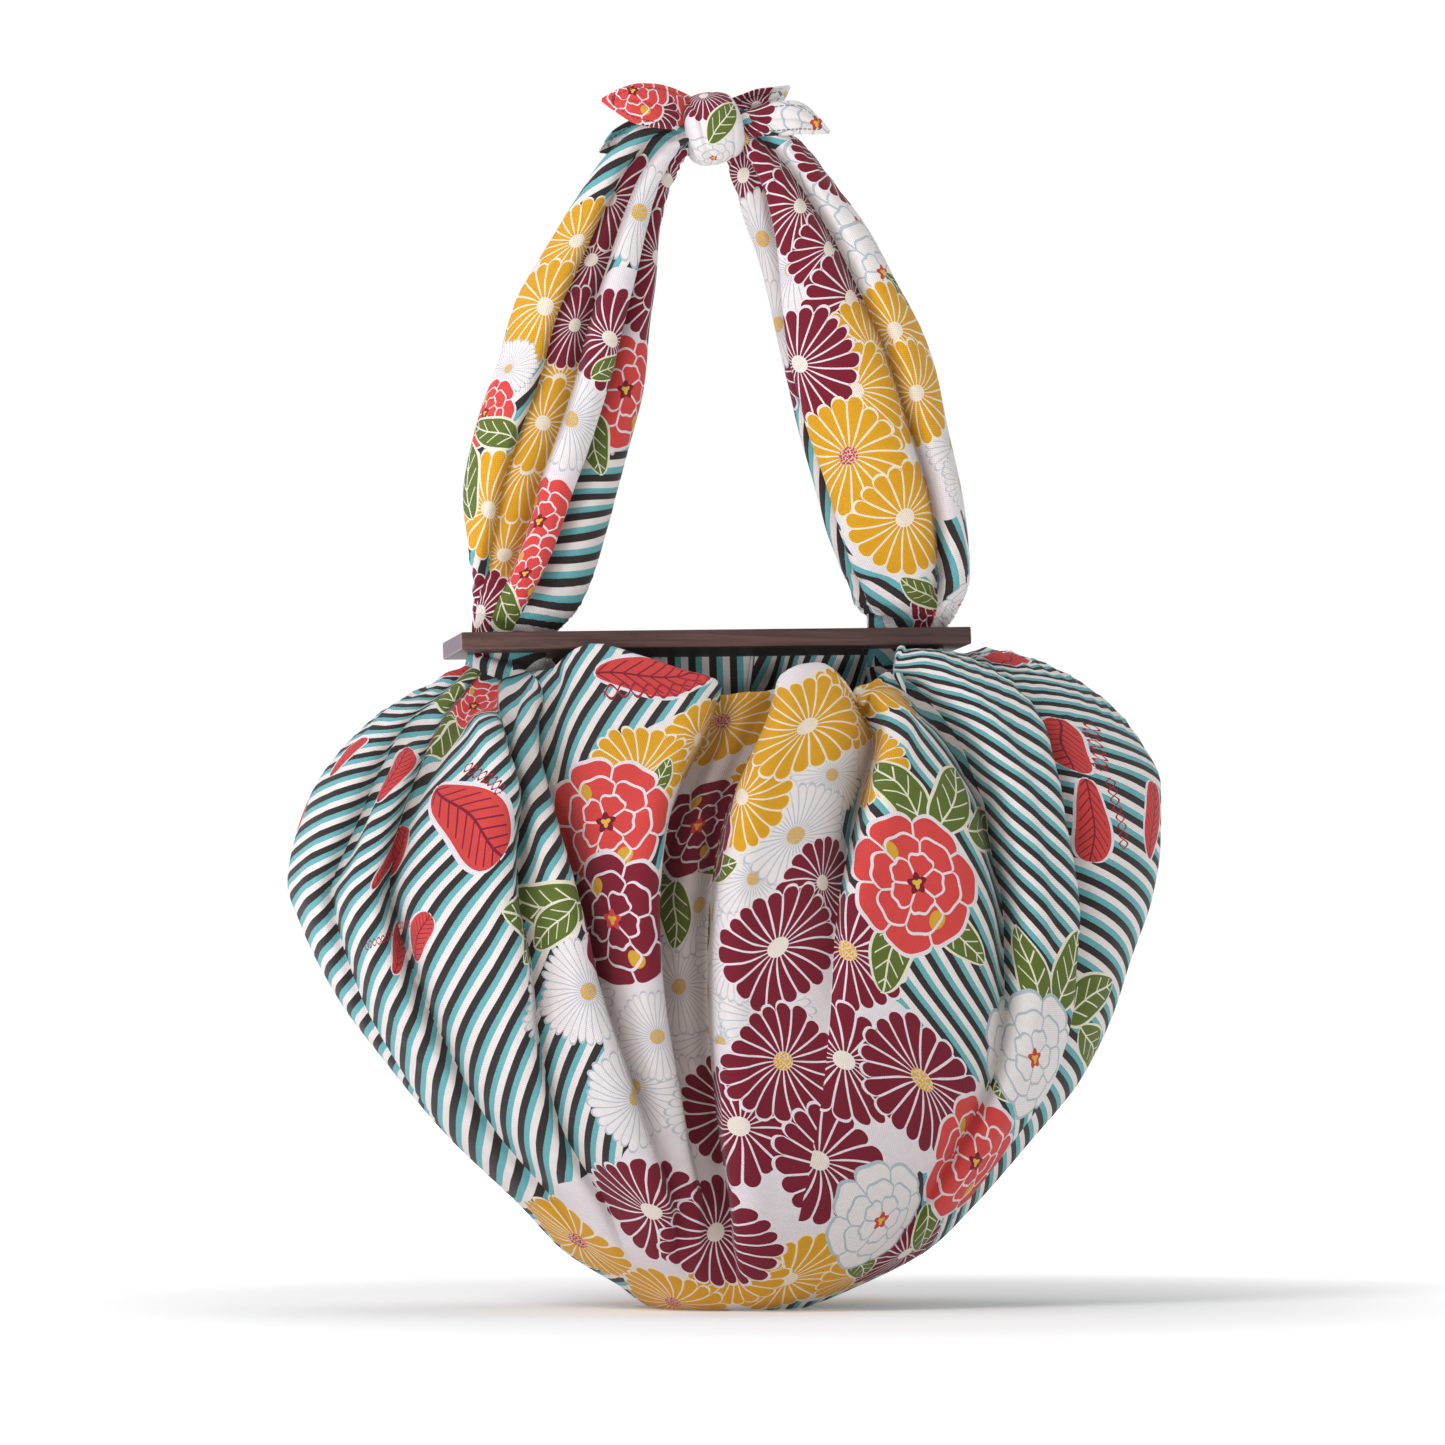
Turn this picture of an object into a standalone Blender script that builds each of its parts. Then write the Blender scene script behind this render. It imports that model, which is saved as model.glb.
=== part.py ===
# Furoshiki bag: one square cloth gathered through a slotted walnut plate and tied in one knot.
# Metres, +Z up, +X to the right seen from the front, the front faces -Y, the bag stands on z = 0.
import bmesh
import bpy
import numpy as np
from mathutils import Matrix, Vector

MM = 0.001

# Brings the middle of the bag's width and depth over the origin, in mm.
CENTRE_SHIFT = (-0.7, 0.4, 0.0)

# Cloth
CLOTH_THICK = 2.0 * MM
COLUMNS_IN_PANEL = (0.0, 0.17, 0.5, 0.83)
ROWS_ON_BODY = 23
FLAT_LEVELS = (1.0, 2.0)
NORMAL_ROUNDS = 4
CREASE_HALF_WIDTH = 7.5
CREASE_FALL_POWER = 1.3
CREASE_SHARE_OF_ROOM = 0.3
CREASE_LEAST_ROOM = 0.2
CREASE_LEVELS_OF_START = (3.0, 6.0)
BASE_FLAT_BELOW = 0.05
ROW_STEPS_ALONG_ANGLE = 300.0
ROW_SAMPLES = 400

# Plate
PLATE_LENGTH = 260.0 * MM
PLATE_WIDTH = 50.0 * MM
PLATE_THICK = 8.7 * MM
PLATE_EDGE_ROUND = 0.8 * MM
PLATE_CENTRE = (-9.5 * MM, 0.0, 331.4 * MM)
PLATE_ROLL = 1.2
PLATE_PITCH = 3.5
SLOT_LENGTH = 42.5 * MM
SLOT_WIDTH = 12.0 * MM
SLOT_FROM_CENTRE = 101.0 * MM
SLOT_END_STEPS = 8

# Levels of the body from the base centre to the rim, in mm: height and reach on the left,
# right, front and back of the bag.
LEVEL_COLUMNS = ("name", "zl", "left", "zr", "right", "zf", "front", "zb", "back")
LEVELS = (
    ("pole", 0, 0, 0, 0, 0, 0, 0, 0),
    ("flat_mid", 0, 20, 0, 20, 0, 20, 0, 20),
    ("flat_edge", 0, 36, 0, 38, 0, 36, 0, 36),
    ("turn", 3, 43, 3, 48, 3, 47, 3, 47),
    ("lift", 10, 52, 11, 67, 10, 58, 10, 58),
    ("low", 28, 81, 28, 101, 28, 75, 28, 75),
    ("low_flank", 50, 103, 50, 124.5, 50, 87, 50, 87),
    ("flank_a", 86, 141, 82, 154, 82, 97, 82, 97),
    ("flank_b", 120, 169.5, 114, 182, 114, 103, 114, 102),
    ("flank_c", 155, 196, 145, 199, 147, 105, 147, 104),
    ("flank_d", 189, 216.5, 175, 209, 178, 104, 178, 103),
    ("widest_a", 212, 223.5, 204, 218.5, 205, 101, 205, 100),
    ("widest_b", 235, 220, 230, 223, 229, 96, 229, 95),
    ("shoulder_a", 258, 211.5, 258, 223.5, 251, 90, 251, 89),
    ("shoulder_b", 279, 196.5, 279, 212.5, 270, 82, 270, 81),
    ("shoulder_c", 296, 176, 301, 195, 286, 74, 286, 73),
    ("gather_a", 308, 156, 322, 167, 299, 66, 299, 65),
    ("gather_b", 316, 143, 332, 149, 308, 59, 309, 58),
    ("rim", 322, 133, 330, 129, 312, 56, 316, 55),
)
LAST_LEVEL = len(LEVELS) - 1

# How square the level's outline is: 2 is an ellipse.
ROUNDNESS_COLUMNS = ("level", "power")
ROUNDNESS = ((0, 2.0), (4, 2.1), (8, 2.15), (12, 2.1), (15, 1.95), (18, 1.8))

# The rim of the cloth round the bag, in degrees from the right end by way of the back, and mm.
RIM_FROM_LEVEL = 13.2
RIM_COLUMNS = ("name", "angle", "x", "y", "z")
RIM = (
    ("slot_right_end", 0, 113, 0, 325),
    ("slot_right_back", 18, 104, 8, 324.5),
    ("tuck_right_back", 34, 87, 12, 323),
    ("lump_right_back", 46, 80, 31, 323),
    ("back_a", 60, 50, 44, 318),
    ("back_b", 75, 20, 52, 321),
    ("back_c", 90, -5, 54, 317),
    ("back_d", 105, -32, 52, 321),
    ("back_e", 120, -62, 46, 317),
    ("lump_left_back", 134, -84, 31, 320),
    ("tuck_left_back", 146, -102, 12, 319),
    ("slot_left_back", 162, -123, 8, 319.5),
    ("slot_left_end", 180, -133, 0, 319.5),
    ("slot_left_front", 198, -123, -8, 319.5),
    ("tuck_left_front", 214, -104, -12, 319),
    ("lump_left_front", 227, -80, -34, 328),
    ("front_a", 243, -50, -46, 320),
    ("front_b", 258, -22, -54, 311),
    ("front_c", 270, 2, -56, 310),
    ("front_lobe", 288, 41, -52, 320),
    ("front_d", 302, 66, -42, 311),
    ("lump_right_front", 315, 84, -34, 327),
    ("tuck_right_front", 328, 89, -12, 324),
    ("slot_right_front", 342, 104, -8, 324.5),
)

# Creases that run up the body: the angle and the depth in mm at six levels.
CREASE_AT = (4, 7, 10, 13, 16, 18)
CREASE_COLUMNS = ("name", "angles", "depths")
CREASES = (
    ("right_end", (2, 4, 6, 8, 6, 4), (0, 0, 3, 6, 3, 1)),
    ("back_right", (34, 36, 38, 36, 24, 16), (0, 2, 6, 9, 8, 3)),
    ("back_right_mid", (62, 60, 58, 54, 44, 36), (0, 4, 8, 12, 9, 4)),
    ("back_mid_right", (84, 82, 80, 78, 74, 70), (2, 7, 10, 11, 9, 6)),
    ("back_mid_left", (106, 104, 103, 104, 104, 104), (0, 4, 9, 12, 9, 6)),
    ("back_left_mid", (126, 128, 127, 128, 138, 142), (0, 5, 8, 11, 9, 4)),
    ("back_left", (148, 150, 148, 148, 160, 166), (0, 2, 7, 9, 7, 3)),
    ("left_lobe", (180, 184, 192, 202, 195, 188), (0, 0, 4, 8, 6, 3)),
    ("left_hem_side", (200, 204, 211, 213, 204, 197), (0, 3, 8, 10, 6, 3)),
    ("left_front", (218, 226, 237, 235.5, 215, 206), (0, 4, 7, 9, 8, 4)),
    ("left_deep", (238, 247, 246.8, 241, 224, 214), (0, 5, 10, 13, 10, 4)),
    ("mid_left", (251, 255, 256.5, 258, 261, 262), (0, 4, 10, 13, 10, 6)),
    ("mid_deep", (262, 262, 263.5, 266, 272, 275), (3, 9, 12, 13, 10, 6)),
    ("mid_right", (277, 277, 278, 283, 293, 298), (0, 2, 8, 12, 9, 6)),
    ("right_deep", (316, 313, 307.5, 303, 306, 309), (0, 4, 9, 13, 10, 4)),
    ("right_hem_side", (336, 330, 321, 314, 327, 336), (0, 0, 4, 9, 8, 3)),
)

# Strap sections from the gather under the plate up into the knot, in mm: centre, half width
# across the strap and half depth.
STRAP_COLUMNS = ("name", "x", "y", "z", "half_width", "half_depth")
STRAP_LEFT = (
    ("root", -112, 0, 304, 17, 8),
    ("neck", -111.5, 0, 317, 21.5, 10),
    ("slot_low", -110.6, 0, 322, 18.8, 3.8),
    ("slot_high", -110.6, 0, 335, 18.9, 3.8),
    ("flare", -109.5, 0, 340, 20.5, 8),
    ("swell", -106.5, 0, 348, 24.5, 13),
    ("low", -101.5, 0, 362, 30, 18),
    ("low_mid", -98.3, -1, 380, 34.5, 21.5),
    ("mid", -95.2, -1, 405, 38.5, 24),
    ("widest", -89.3, -1, 430, 39, 25),
    ("high_mid", -82, -1, 458, 38, 25),
    ("high", -75.5, 0, 485, 36.5, 24),
    ("narrow", -65.5, 0, 514, 31, 21),
    ("top", -55.4, 0, 543, 24.5, 17.5),
    ("bend", -45, 0, 566, 20, 14.5),
    ("to_knot", -30, 0, 583, 16, 12),
    ("in_knot", -11, 0, 590, 9, 8),
)
STRAP_RIGHT = (
    ("root", 93, 0, 309, 17, 8),
    ("neck", 92.5, 0, 322, 21.5, 10),
    ("slot_low", 91.6, 0, 326.6, 18.8, 3.8),
    ("slot_high", 91.6, 0, 339.3, 18.9, 3.8),
    ("flare", 92.5, 0, 344, 22, 8),
    ("swell", 93, 0, 351, 27, 14),
    ("low", 93, 0, 364, 32, 19),
    ("low_mid", 90.5, -1, 382, 35, 22),
    ("mid", 86, -1, 402, 37, 24),
    ("widest", 80, -1, 425, 37.5, 25),
    ("high_mid", 72, -1, 453, 38.5, 25),
    ("high", 65, 0, 478, 37.5, 24),
    ("narrow", 56, 0, 503, 34, 22),
    ("top", 46, 0, 528, 30, 19.5),
    ("bend", 35, 0, 550, 25.5, 17),
    ("over", 23, 0, 570, 21, 14),
    ("to_knot", 9, 0, 585, 15, 11),
    ("in_knot", -3, 0, 590.5, 9, 8),
)

# Creases along a strap: where each lies round the section, in degrees from its right edge by
# way of the back, at four heights, and its depth in mm.
STRAP_CREASE_AT = (340, 400, 480, 570)
STRAP_CREASE_COLUMNS = ("name", "angles", "depth")
STRAP_LEFT_CREASES = (
    ("front_ridge_right", (272, 290, 302, 308), 6),
    ("front_ridge_left", (236, 262, 272, 272), 6),
    ("yellow_fold", (198, 228, 240, 236), 5),
    ("back_left", (130, 128, 132, 140), 5),
    ("back_right", (60, 66, 62, 50), 5),
)
STRAP_RIGHT_CREASES = (
    ("long_fold", (306, 304, 298, 294), 7),
    ("inner_face", (216, 210, 222, 232), 5),
    ("back_left", (128, 126, 130, 136), 5),
    ("back_right", (54, 60, 58, 48), 5),
)
STRAP_COLUMNS_ROUND = 26
STRAP_LONGEST_STEP = 21.0
STRAP_CREASE_DEGREES = 13.0
STRAP_CREASE_RISE = (339.0, 370.0)
STRAP_FULL_HALF_DEPTH = 18.0

# Knot
KNOT_CENTRE = (-7.8, -1.4, 589.5)
KNOT_HALF = (13.6, 15.5, 17.6)
KNOT_SEGMENTS = 16
KNOT_RINGS = 10
KNOT_BAND_TURN = 20.0
KNOT_BAND_DEPTH = 0.09
KNOT_BAND_AT = 0.62
KNOT_BAND_WIDTH = 0.16

# Free ends, from the knot to the point, in mm: centre, half width and how far the edges cup.
TIP_COLUMNS = ("x", "y", "z", "half_width", "cup")
TIPS = (
    ("left_front", 1.0, (
        (-14, -8, 597, 6, 2), (-24, -12, 598, 8.5, 3), (-36, -14, 600, 10.6, 4),
        (-48, -14, 601, 10.0, 4), (-58, -12, 602, 6.0, 2.5), (-66.5, -9, 602.5, 0.8, 0.2),
    )),
    ("left_back", -1.0, (
        (-12, 6, 590, 5, 2), (-24, 11, 590, 7, 3), (-38, 18, 588, 8.5, 3.5),
        (-50, 20, 584, 7.0, 3), (-61, 18, 579, 0.8, 0.2),
    )),
    ("right_back", -1.0, (
        (-2, 5, 598, 5, 2), (8, 8, 600, 6.5, 3), (18, 10, 603, 6.8, 3),
        (27, 9, 606.5, 4.5, 2), (34.5, 7, 609.5, 0.8, 0.2),
    )),
    ("right_front", 1.0, (
        (-2, -8, 594, 5, 2), (9, -12, 597, 7.2, 3), (20, -15, 597.5, 9.0, 4),
        (32, -15, 595.5, 8.6, 3.5), (43, -12, 591.5, 5.0, 2), (51, -9, 588.5, 0.8, 0.2),
    )),
)
TIP_COLUMNS_ACROSS = 5
TIP_ROWS = 7
TIP_CUP_MIDDLE = 0.4


def clear_scene():
    for thing in list(bpy.data.objects):
        bpy.data.objects.remove(thing, do_unlink=True)


def column(rows, names, wanted):
    place = names.index(wanted)
    return [row[place] for row in rows]


def eased(xs, ys, at):
    # A smooth curve through the rows that never overshoots them.
    xs = np.asarray(xs, float)
    ys = np.asarray(ys, float)
    at = np.asarray(at, float)
    step = np.diff(xs)
    slope = np.diff(ys) / step
    both = slope[:-1] + slope[1:]
    same = slope[:-1] * slope[1:] > 0
    tangent = np.zeros_like(ys)
    tangent[1:-1] = np.where(same, 2 * slope[:-1] * slope[1:] / np.where(both == 0, 1, both), 0)
    tangent[0] = slope[0]
    tangent[-1] = slope[-1]
    i = np.clip(np.searchsorted(xs, at) - 1, 0, len(xs) - 2)
    return hermite(ys, tangent, step, xs, i, at)


def hermite(ys, tangent, step, xs, i, at):
    u = np.clip((at - xs[i]) / step[i], 0, 1)
    start = ys[i] * (1 + 2 * u) * (1 - u) ** 2 + tangent[i] * step[i] * u * (1 - u) ** 2
    end = ys[i + 1] * u * u * (3 - 2 * u) + tangent[i + 1] * step[i] * u * u * (u - 1)
    return start + end


def eased_round(xs, ys, at, wrap=3, turn=360.0):
    # The same for rows that close on themselves after a full turn.
    xs = np.asarray(xs, float)
    ys = np.asarray(ys, float)
    long_x = np.concatenate([xs[-wrap:] - turn, xs, xs[:wrap] + turn])
    long_y = np.concatenate([ys[-wrap:], ys, ys[:wrap]])
    at = np.mod(np.asarray(at, float), turn)
    step = np.diff(long_x)
    slope = np.diff(long_y) / step
    tangent = np.zeros_like(long_y)
    tangent[1:-1] = (slope[:-1] * step[1:] + slope[1:] * step[:-1]) / (step[:-1] + step[1:])
    i = np.clip(np.searchsorted(long_x, at, side="right") - 1, 1, len(long_x) - 3)
    return hermite(long_y, tangent, step, long_x, i, at)


def ramp(low, high, value):
    u = np.clip((value - low) / (high - low), 0, 1)
    return u * u * (3 - 2 * u)


def power_of(signed, exponent):
    return np.sign(signed) * np.abs(signed) ** exponent


def ring(angle, level):
    # A point of the unfolded body, in mm.
    angle, level = np.broadcast_arrays(np.asarray(angle, float), np.asarray(level, float))
    index = np.arange(LAST_LEVEL + 1)
    size = {name: eased(index, column(LEVELS, LEVEL_COLUMNS, name), level) for name in LEVEL_COLUMNS[1:]}
    power = eased(column(ROUNDNESS, ROUNDNESS_COLUMNS, "level"),
                  column(ROUNDNESS, ROUNDNESS_COLUMNS, "power"), level)
    c = np.cos(np.radians(angle))
    s = np.sin(np.radians(angle))

    def outline(part, exponent):
        x = np.where(c > 0, part["right"], part["left"]) * power_of(c, 2 / exponent)
        y = np.where(s > 0, part["back"], part["front"]) * power_of(s, 2 / exponent)
        side = np.where(c > 0, part["zr"], part["zl"]) * c * c
        face = np.where(s > 0, part["zb"], part["zf"]) * s * s
        return np.stack([x, y, side + face], -1)

    plain = outline(size, power)
    last = dict(zip(LEVEL_COLUMNS, LEVELS[-1]))
    top = outline(last, ROUNDNESS[-1][1])
    angles = column(RIM, RIM_COLUMNS, "angle")
    edge = np.stack([eased_round(angles, column(RIM, RIM_COLUMNS, k), angle) for k in "xyz"], -1)
    share = ramp(RIM_FROM_LEVEL, LAST_LEVEL, level)[..., None]
    return plain + share * (edge - top)


def crease_values(level):
    angles = np.array([eased(CREASE_AT, row[1], level) for row in CREASES])
    depths = np.array([eased(CREASE_AT, row[2], level) for row in CREASES])
    fade = ramp(*CREASE_LEVELS_OF_START, level)
    return angles, depths * fade


def body_grid(levels, shares):
    # Rows of points up the body; the columns follow the creases.
    plain = []
    drop = []
    for level in levels:
        angles, depths = crease_values(level)
        around = np.append(angles, angles[0] + 360.0)
        deep = np.append(depths, depths[0])
        row_angle = []
        row_crease = []
        for k in range(len(CREASES)):
            for share in shares:
                row_angle.append(around[k] + (around[k + 1] - around[k]) * share)
                row_crease.append((k, share))
        row_angle = np.array(row_angle)
        points = ring(row_angle, level)
        plain.append(points)
        marks = ring(around, level)
        fall = np.zeros(len(row_angle))
        for i, (k, share) in enumerate(row_crease):
            before = np.linalg.norm(points[i] - marks[k])
            after = np.linalg.norm(points[i] - marks[k + 1])
            a = deep[k] / (1 + (before / CREASE_HALF_WIDTH) ** 2) ** CREASE_FALL_POWER
            b = deep[k + 1] / (1 + (after / CREASE_HALF_WIDTH) ** 2) ** CREASE_FALL_POWER
            fall[i] = a + b
        room = CREASE_SHARE_OF_ROOM * np.abs(points[:, 1]) + CREASE_LEAST_ROOM
        drop.append(np.minimum(fall, room))
    plain = np.array(plain)
    out = grid_normals(plain)
    return plain - out * np.array(drop)[..., None]


def unit(vectors):
    length = np.linalg.norm(vectors, axis=-1, keepdims=True)
    return vectors / np.where(length == 0, 1, length)


def grid_normals(grid, rounds=0):
    # Outward directions, evened with their neighbours so that a thickness never crosses itself.
    along = np.gradient(grid, axis=0)
    around = np.roll(grid, -1, axis=1) - np.roll(grid, 1, axis=1)
    normal = unit(np.cross(around, along))
    for _ in range(rounds):
        beside = np.roll(normal, 1, axis=1) + np.roll(normal, -1, axis=1)
        lower = np.concatenate([normal[:1], normal[:-1]])
        upper = np.concatenate([normal[1:], normal[-1:]])
        normal = unit(2 * normal + beside + 0.5 * (lower + upper))
    return normal


def add_grid(mesh, grid, close_round=True):
    rows = [[mesh.verts.new(Vector(p) * MM) for p in row] for row in grid]
    count = len(rows[0])
    for low, high in zip(rows[:-1], rows[1:]):
        for i in range(count if close_round else count - 1):
            j = (i + 1) % count
            mesh.faces.new((low[i], low[j], high[j], high[i]))
    return rows


def new_object(name, mesh):
    bmesh.ops.recalc_face_normals(mesh, faces=mesh.faces)
    for face in mesh.faces:
        face.smooth = True
    data = bpy.data.meshes.new(name)
    mesh.to_mesh(data)
    mesh.free()
    thing = bpy.data.objects.new(name, data)
    bpy.context.scene.collection.objects.link(thing)
    return thing


def body_levels():
    # The two flat levels of the base, then even steps of arc length up the front to the rim.
    fine = np.linspace(FLAT_LEVELS[-1], LAST_LEVEL, ROW_SAMPLES)
    line = ring(np.full(ROW_SAMPLES, ROW_STEPS_ALONG_ANGLE), fine)
    length = np.append(0, np.cumsum(np.linalg.norm(np.diff(line, axis=0), axis=1)))
    steps = np.linspace(0, length[-1], ROWS_ON_BODY - len(FLAT_LEVELS) + 1)[1:]
    return np.append(FLAT_LEVELS, np.interp(steps, length, fine))


def make_body():
    outer = body_grid(body_levels(), COLUMNS_IN_PANEL)
    inner = outer - grid_normals(outer, NORMAL_ROUNDS) * CLOTH_THICK / MM
    flat = outer[..., 2] < BASE_FLAT_BELOW
    inner[..., 2] = np.where(flat, CLOTH_THICK / MM, inner[..., 2])
    mesh = bmesh.new()
    out_rows = add_grid(mesh, outer)
    in_rows = add_grid(mesh, inner)
    for rows, height in ((out_rows, 0.0), (in_rows, CLOTH_THICK)):
        pole = mesh.verts.new((0, 0, height))
        for i, vert in enumerate(rows[0]):
            mesh.faces.new((vert, rows[0][(i + 1) % len(rows[0])], pole))
    for i, vert in enumerate(out_rows[-1]):
        j = (i + 1) % len(out_rows[-1])
        mesh.faces.new((vert, out_rows[-1][j], in_rows[-1][j], in_rows[-1][i]))
    return new_object("cloth", mesh)


def strap_places(rows):
    # A section at every row, and one between where they are far apart.
    centre = np.array([row[1:4] for row in rows], float)
    gaps = np.linalg.norm(np.diff(centre, axis=0), axis=1)
    places = [0.0]
    for k, gap in enumerate(gaps):
        if gap > STRAP_LONGEST_STEP:
            places.append(k + 0.5)
        places.append(k + 1.0)
    return np.array(places)


def strap_grid(rows, creases, column_count):
    names = STRAP_COLUMNS[1:]
    index = np.arange(len(rows))
    at = strap_places(rows)
    row_count = len(at)
    size = {k: eased(index, column(rows, STRAP_COLUMNS, k), at) for k in names}
    centre = np.stack([size["x"], size["y"], size["z"]], -1)
    tangent = np.gradient(centre, axis=0)
    tangent[:, 1] = 0
    tangent /= np.linalg.norm(tangent, axis=1, keepdims=True)
    across = np.cross((0.0, 1.0, 0.0), tangent)
    grid = []
    angle = np.linspace(0, 360, column_count, endpoint=False)
    for i in range(row_count):
        z = size["z"][i]
        drop = np.zeros(column_count)
        for name, angles, depth in creases:
            middle = eased(STRAP_CREASE_AT, angles, z)
            away = (angle - middle + 180) % 360 - 180
            drop += depth / (1 + (away / STRAP_CREASE_DEGREES) ** 2) ** CREASE_FALL_POWER
        drop *= ramp(*STRAP_CREASE_RISE, z) * min(1, size["half_depth"][i] / STRAP_FULL_HALF_DEPTH)
        c = np.cos(np.radians(angle))
        s = np.sin(np.radians(angle))
        wide = size["half_width"][i]
        deep = size["half_depth"][i]
        reach = np.hypot(wide * c, deep * s)
        keep = 1 - drop / reach
        ring_points = centre[i] + (wide * c * keep)[:, None] * across[i]
        ring_points[:, 1] += deep * s * keep
        grid.append(ring_points)
    return np.array(grid)


def make_strap(name, rows, creases):
    grid = strap_grid(rows, creases, STRAP_COLUMNS_ROUND)
    mesh = bmesh.new()
    made = add_grid(mesh, grid)
    mesh.faces.new(made[0])
    mesh.faces.new(made[-1])
    return new_object(name, mesh)


def make_knot():
    mesh = bmesh.new()
    bmesh.ops.create_uvsphere(mesh, u_segments=KNOT_SEGMENTS, v_segments=KNOT_RINGS, radius=1.0)
    turn = Matrix.Rotation(np.radians(KNOT_BAND_TURN), 3, "Y")
    for vert in mesh.verts:
        local = turn @ vert.co
        band = 1 - KNOT_BAND_DEPTH * np.exp(-((abs(local.x) - KNOT_BAND_AT) / KNOT_BAND_WIDTH) ** 2)
        shape = Vector(p * h for p, h in zip(vert.co, KNOT_HALF)) * band
        vert.co = (Vector(KNOT_CENTRE) + shape) * MM
    return new_object("knot", mesh)


def make_tip(name, facing, rows):
    at = np.linspace(0, len(rows) - 1, TIP_ROWS)
    index = np.arange(len(rows))
    size = {k: eased(index, column(rows, TIP_COLUMNS, k), at) for k in TIP_COLUMNS}
    centre = np.stack([size["x"], size["y"], size["z"]], -1)
    tangent = np.gradient(centre, axis=0)
    tangent /= np.linalg.norm(tangent, axis=1, keepdims=True)
    side = np.cross(tangent, (0.0, 1.0, 0.0))
    side /= np.linalg.norm(side, axis=1, keepdims=True)
    out = np.cross(side, tangent)
    out *= np.sign(out[:, 1:2]) * -1.0
    share = np.linspace(-1, 1, TIP_COLUMNS_ACROSS)
    half = CLOTH_THICK / MM / 2
    rings = []
    for i in range(TIP_ROWS):
        bow = centre[i] + np.outer(share * size["half_width"][i], side[i])
        bow = bow + np.outer(facing * size["cup"][i] * (TIP_CUP_MIDDLE - share ** 2), out[i])
        rings.append(np.concatenate([bow + out[i] * half, (bow - out[i] * half)[::-1]]))
    mesh = bmesh.new()
    made = add_grid(mesh, rings)
    mesh.faces.new(made[0])
    mesh.faces.new(made[-1])
    return new_object(name, mesh)


def merge(base, pieces):
    for piece in pieces:
        joined = base.modifiers.new(piece.name, "BOOLEAN")
        joined.operation = "UNION"
        joined.solver = "EXACT"
        joined.object = piece
    graph = bpy.context.evaluated_depsgraph_get()
    graph.update()
    data = bpy.data.meshes.new_from_object(base.evaluated_get(graph))
    base.modifiers.clear()
    base.data = data
    for piece in pieces:
        bpy.data.objects.remove(piece, do_unlink=True)
    return base


def slot_cutter(name, middle):
    mesh = bmesh.new()
    radius = SLOT_WIDTH / 2
    straight = SLOT_LENGTH / 2 - radius
    ring_verts = []
    for side, start in ((1, -90), (-1, 90)):
        for k in range(SLOT_END_STEPS + 1):
            turn = np.radians(start + 180 * k / SLOT_END_STEPS)
            ring_verts.append(mesh.verts.new((middle + side * straight + radius * np.cos(turn),
                                              radius * np.sin(turn), -PLATE_THICK)))
    face = mesh.faces.new(ring_verts)
    risen = bmesh.ops.extrude_face_region(mesh, geom=[face])
    moved = [v for v in risen["geom"] if isinstance(v, bmesh.types.BMVert)]
    bmesh.ops.translate(mesh, verts=moved, vec=(0, 0, 2 * PLATE_THICK))
    return new_object(name, mesh)


def make_plate():
    mesh = bmesh.new()
    x = PLATE_LENGTH / 2
    y = PLATE_WIDTH / 2
    outline = ((x, -y), (x, y), (-x, y), (-x, -y))
    face = mesh.faces.new([mesh.verts.new((a, b, -PLATE_THICK / 2)) for a, b in outline])
    risen = bmesh.ops.extrude_face_region(mesh, geom=[face])
    moved = [v for v in risen["geom"] if isinstance(v, bmesh.types.BMVert)]
    bmesh.ops.translate(mesh, verts=moved, vec=(0, 0, PLATE_THICK))
    bmesh.ops.bevel(mesh, geom=mesh.edges[:], offset=PLATE_EDGE_ROUND, segments=2, profile=0.5,
                    affect="EDGES", material=-1)
    plate = new_object("plate", mesh)
    cutters = [slot_cutter("slot_left", -SLOT_FROM_CENTRE), slot_cutter("slot_right", SLOT_FROM_CENTRE)]
    for cutter in cutters:
        opening = plate.modifiers.new(cutter.name, "BOOLEAN")
        opening.operation = "DIFFERENCE"
        opening.solver = "EXACT"
        opening.object = cutter
    graph = bpy.context.evaluated_depsgraph_get()
    graph.update()
    data = bpy.data.meshes.new_from_object(plate.evaluated_get(graph))
    plate.modifiers.clear()
    plate.data = data
    for cutter in cutters:
        bpy.data.objects.remove(cutter, do_unlink=True)
    pose = Matrix.Translation(PLATE_CENTRE)
    pose = pose @ Matrix.Rotation(np.radians(-PLATE_ROLL), 4, "Y")
    pose = pose @ Matrix.Rotation(np.radians(-PLATE_PITCH), 4, "X")
    plate.data.transform(pose)
    for face in plate.data.polygons:
        face.use_smooth = False
    return plate


def paint(thing, name, colour, roughness):
    material = bpy.data.materials.new(name)
    material.use_nodes = True
    shader = material.node_tree.nodes["Principled BSDF"]
    shader.inputs["Base Color"].default_value = (*colour, 1.0)
    shader.inputs["Roughness"].default_value = roughness
    shader.inputs["Metallic"].default_value = 0.0
    thing.data.materials.clear()
    thing.data.materials.append(material)


def main():
    clear_scene()
    cloth = make_body()
    pieces = [make_strap("strap_left", STRAP_LEFT, STRAP_LEFT_CREASES),
              make_strap("strap_right", STRAP_RIGHT, STRAP_RIGHT_CREASES),
              make_knot()]
    pieces += [make_tip("tip_" + name, facing, rows) for name, facing, rows in TIPS]
    merge(cloth, pieces)
    plate = make_plate()
    for thing in (cloth, plate):
        thing.data.transform(Matrix.Translation(Vector(CENTRE_SHIFT) * MM))
    paint(cloth, "cloth_print", (0.62, 0.42, 0.36), 0.85)
    paint(plate, "plate_walnut", (0.07, 0.04, 0.03), 0.5)


main()
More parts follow.
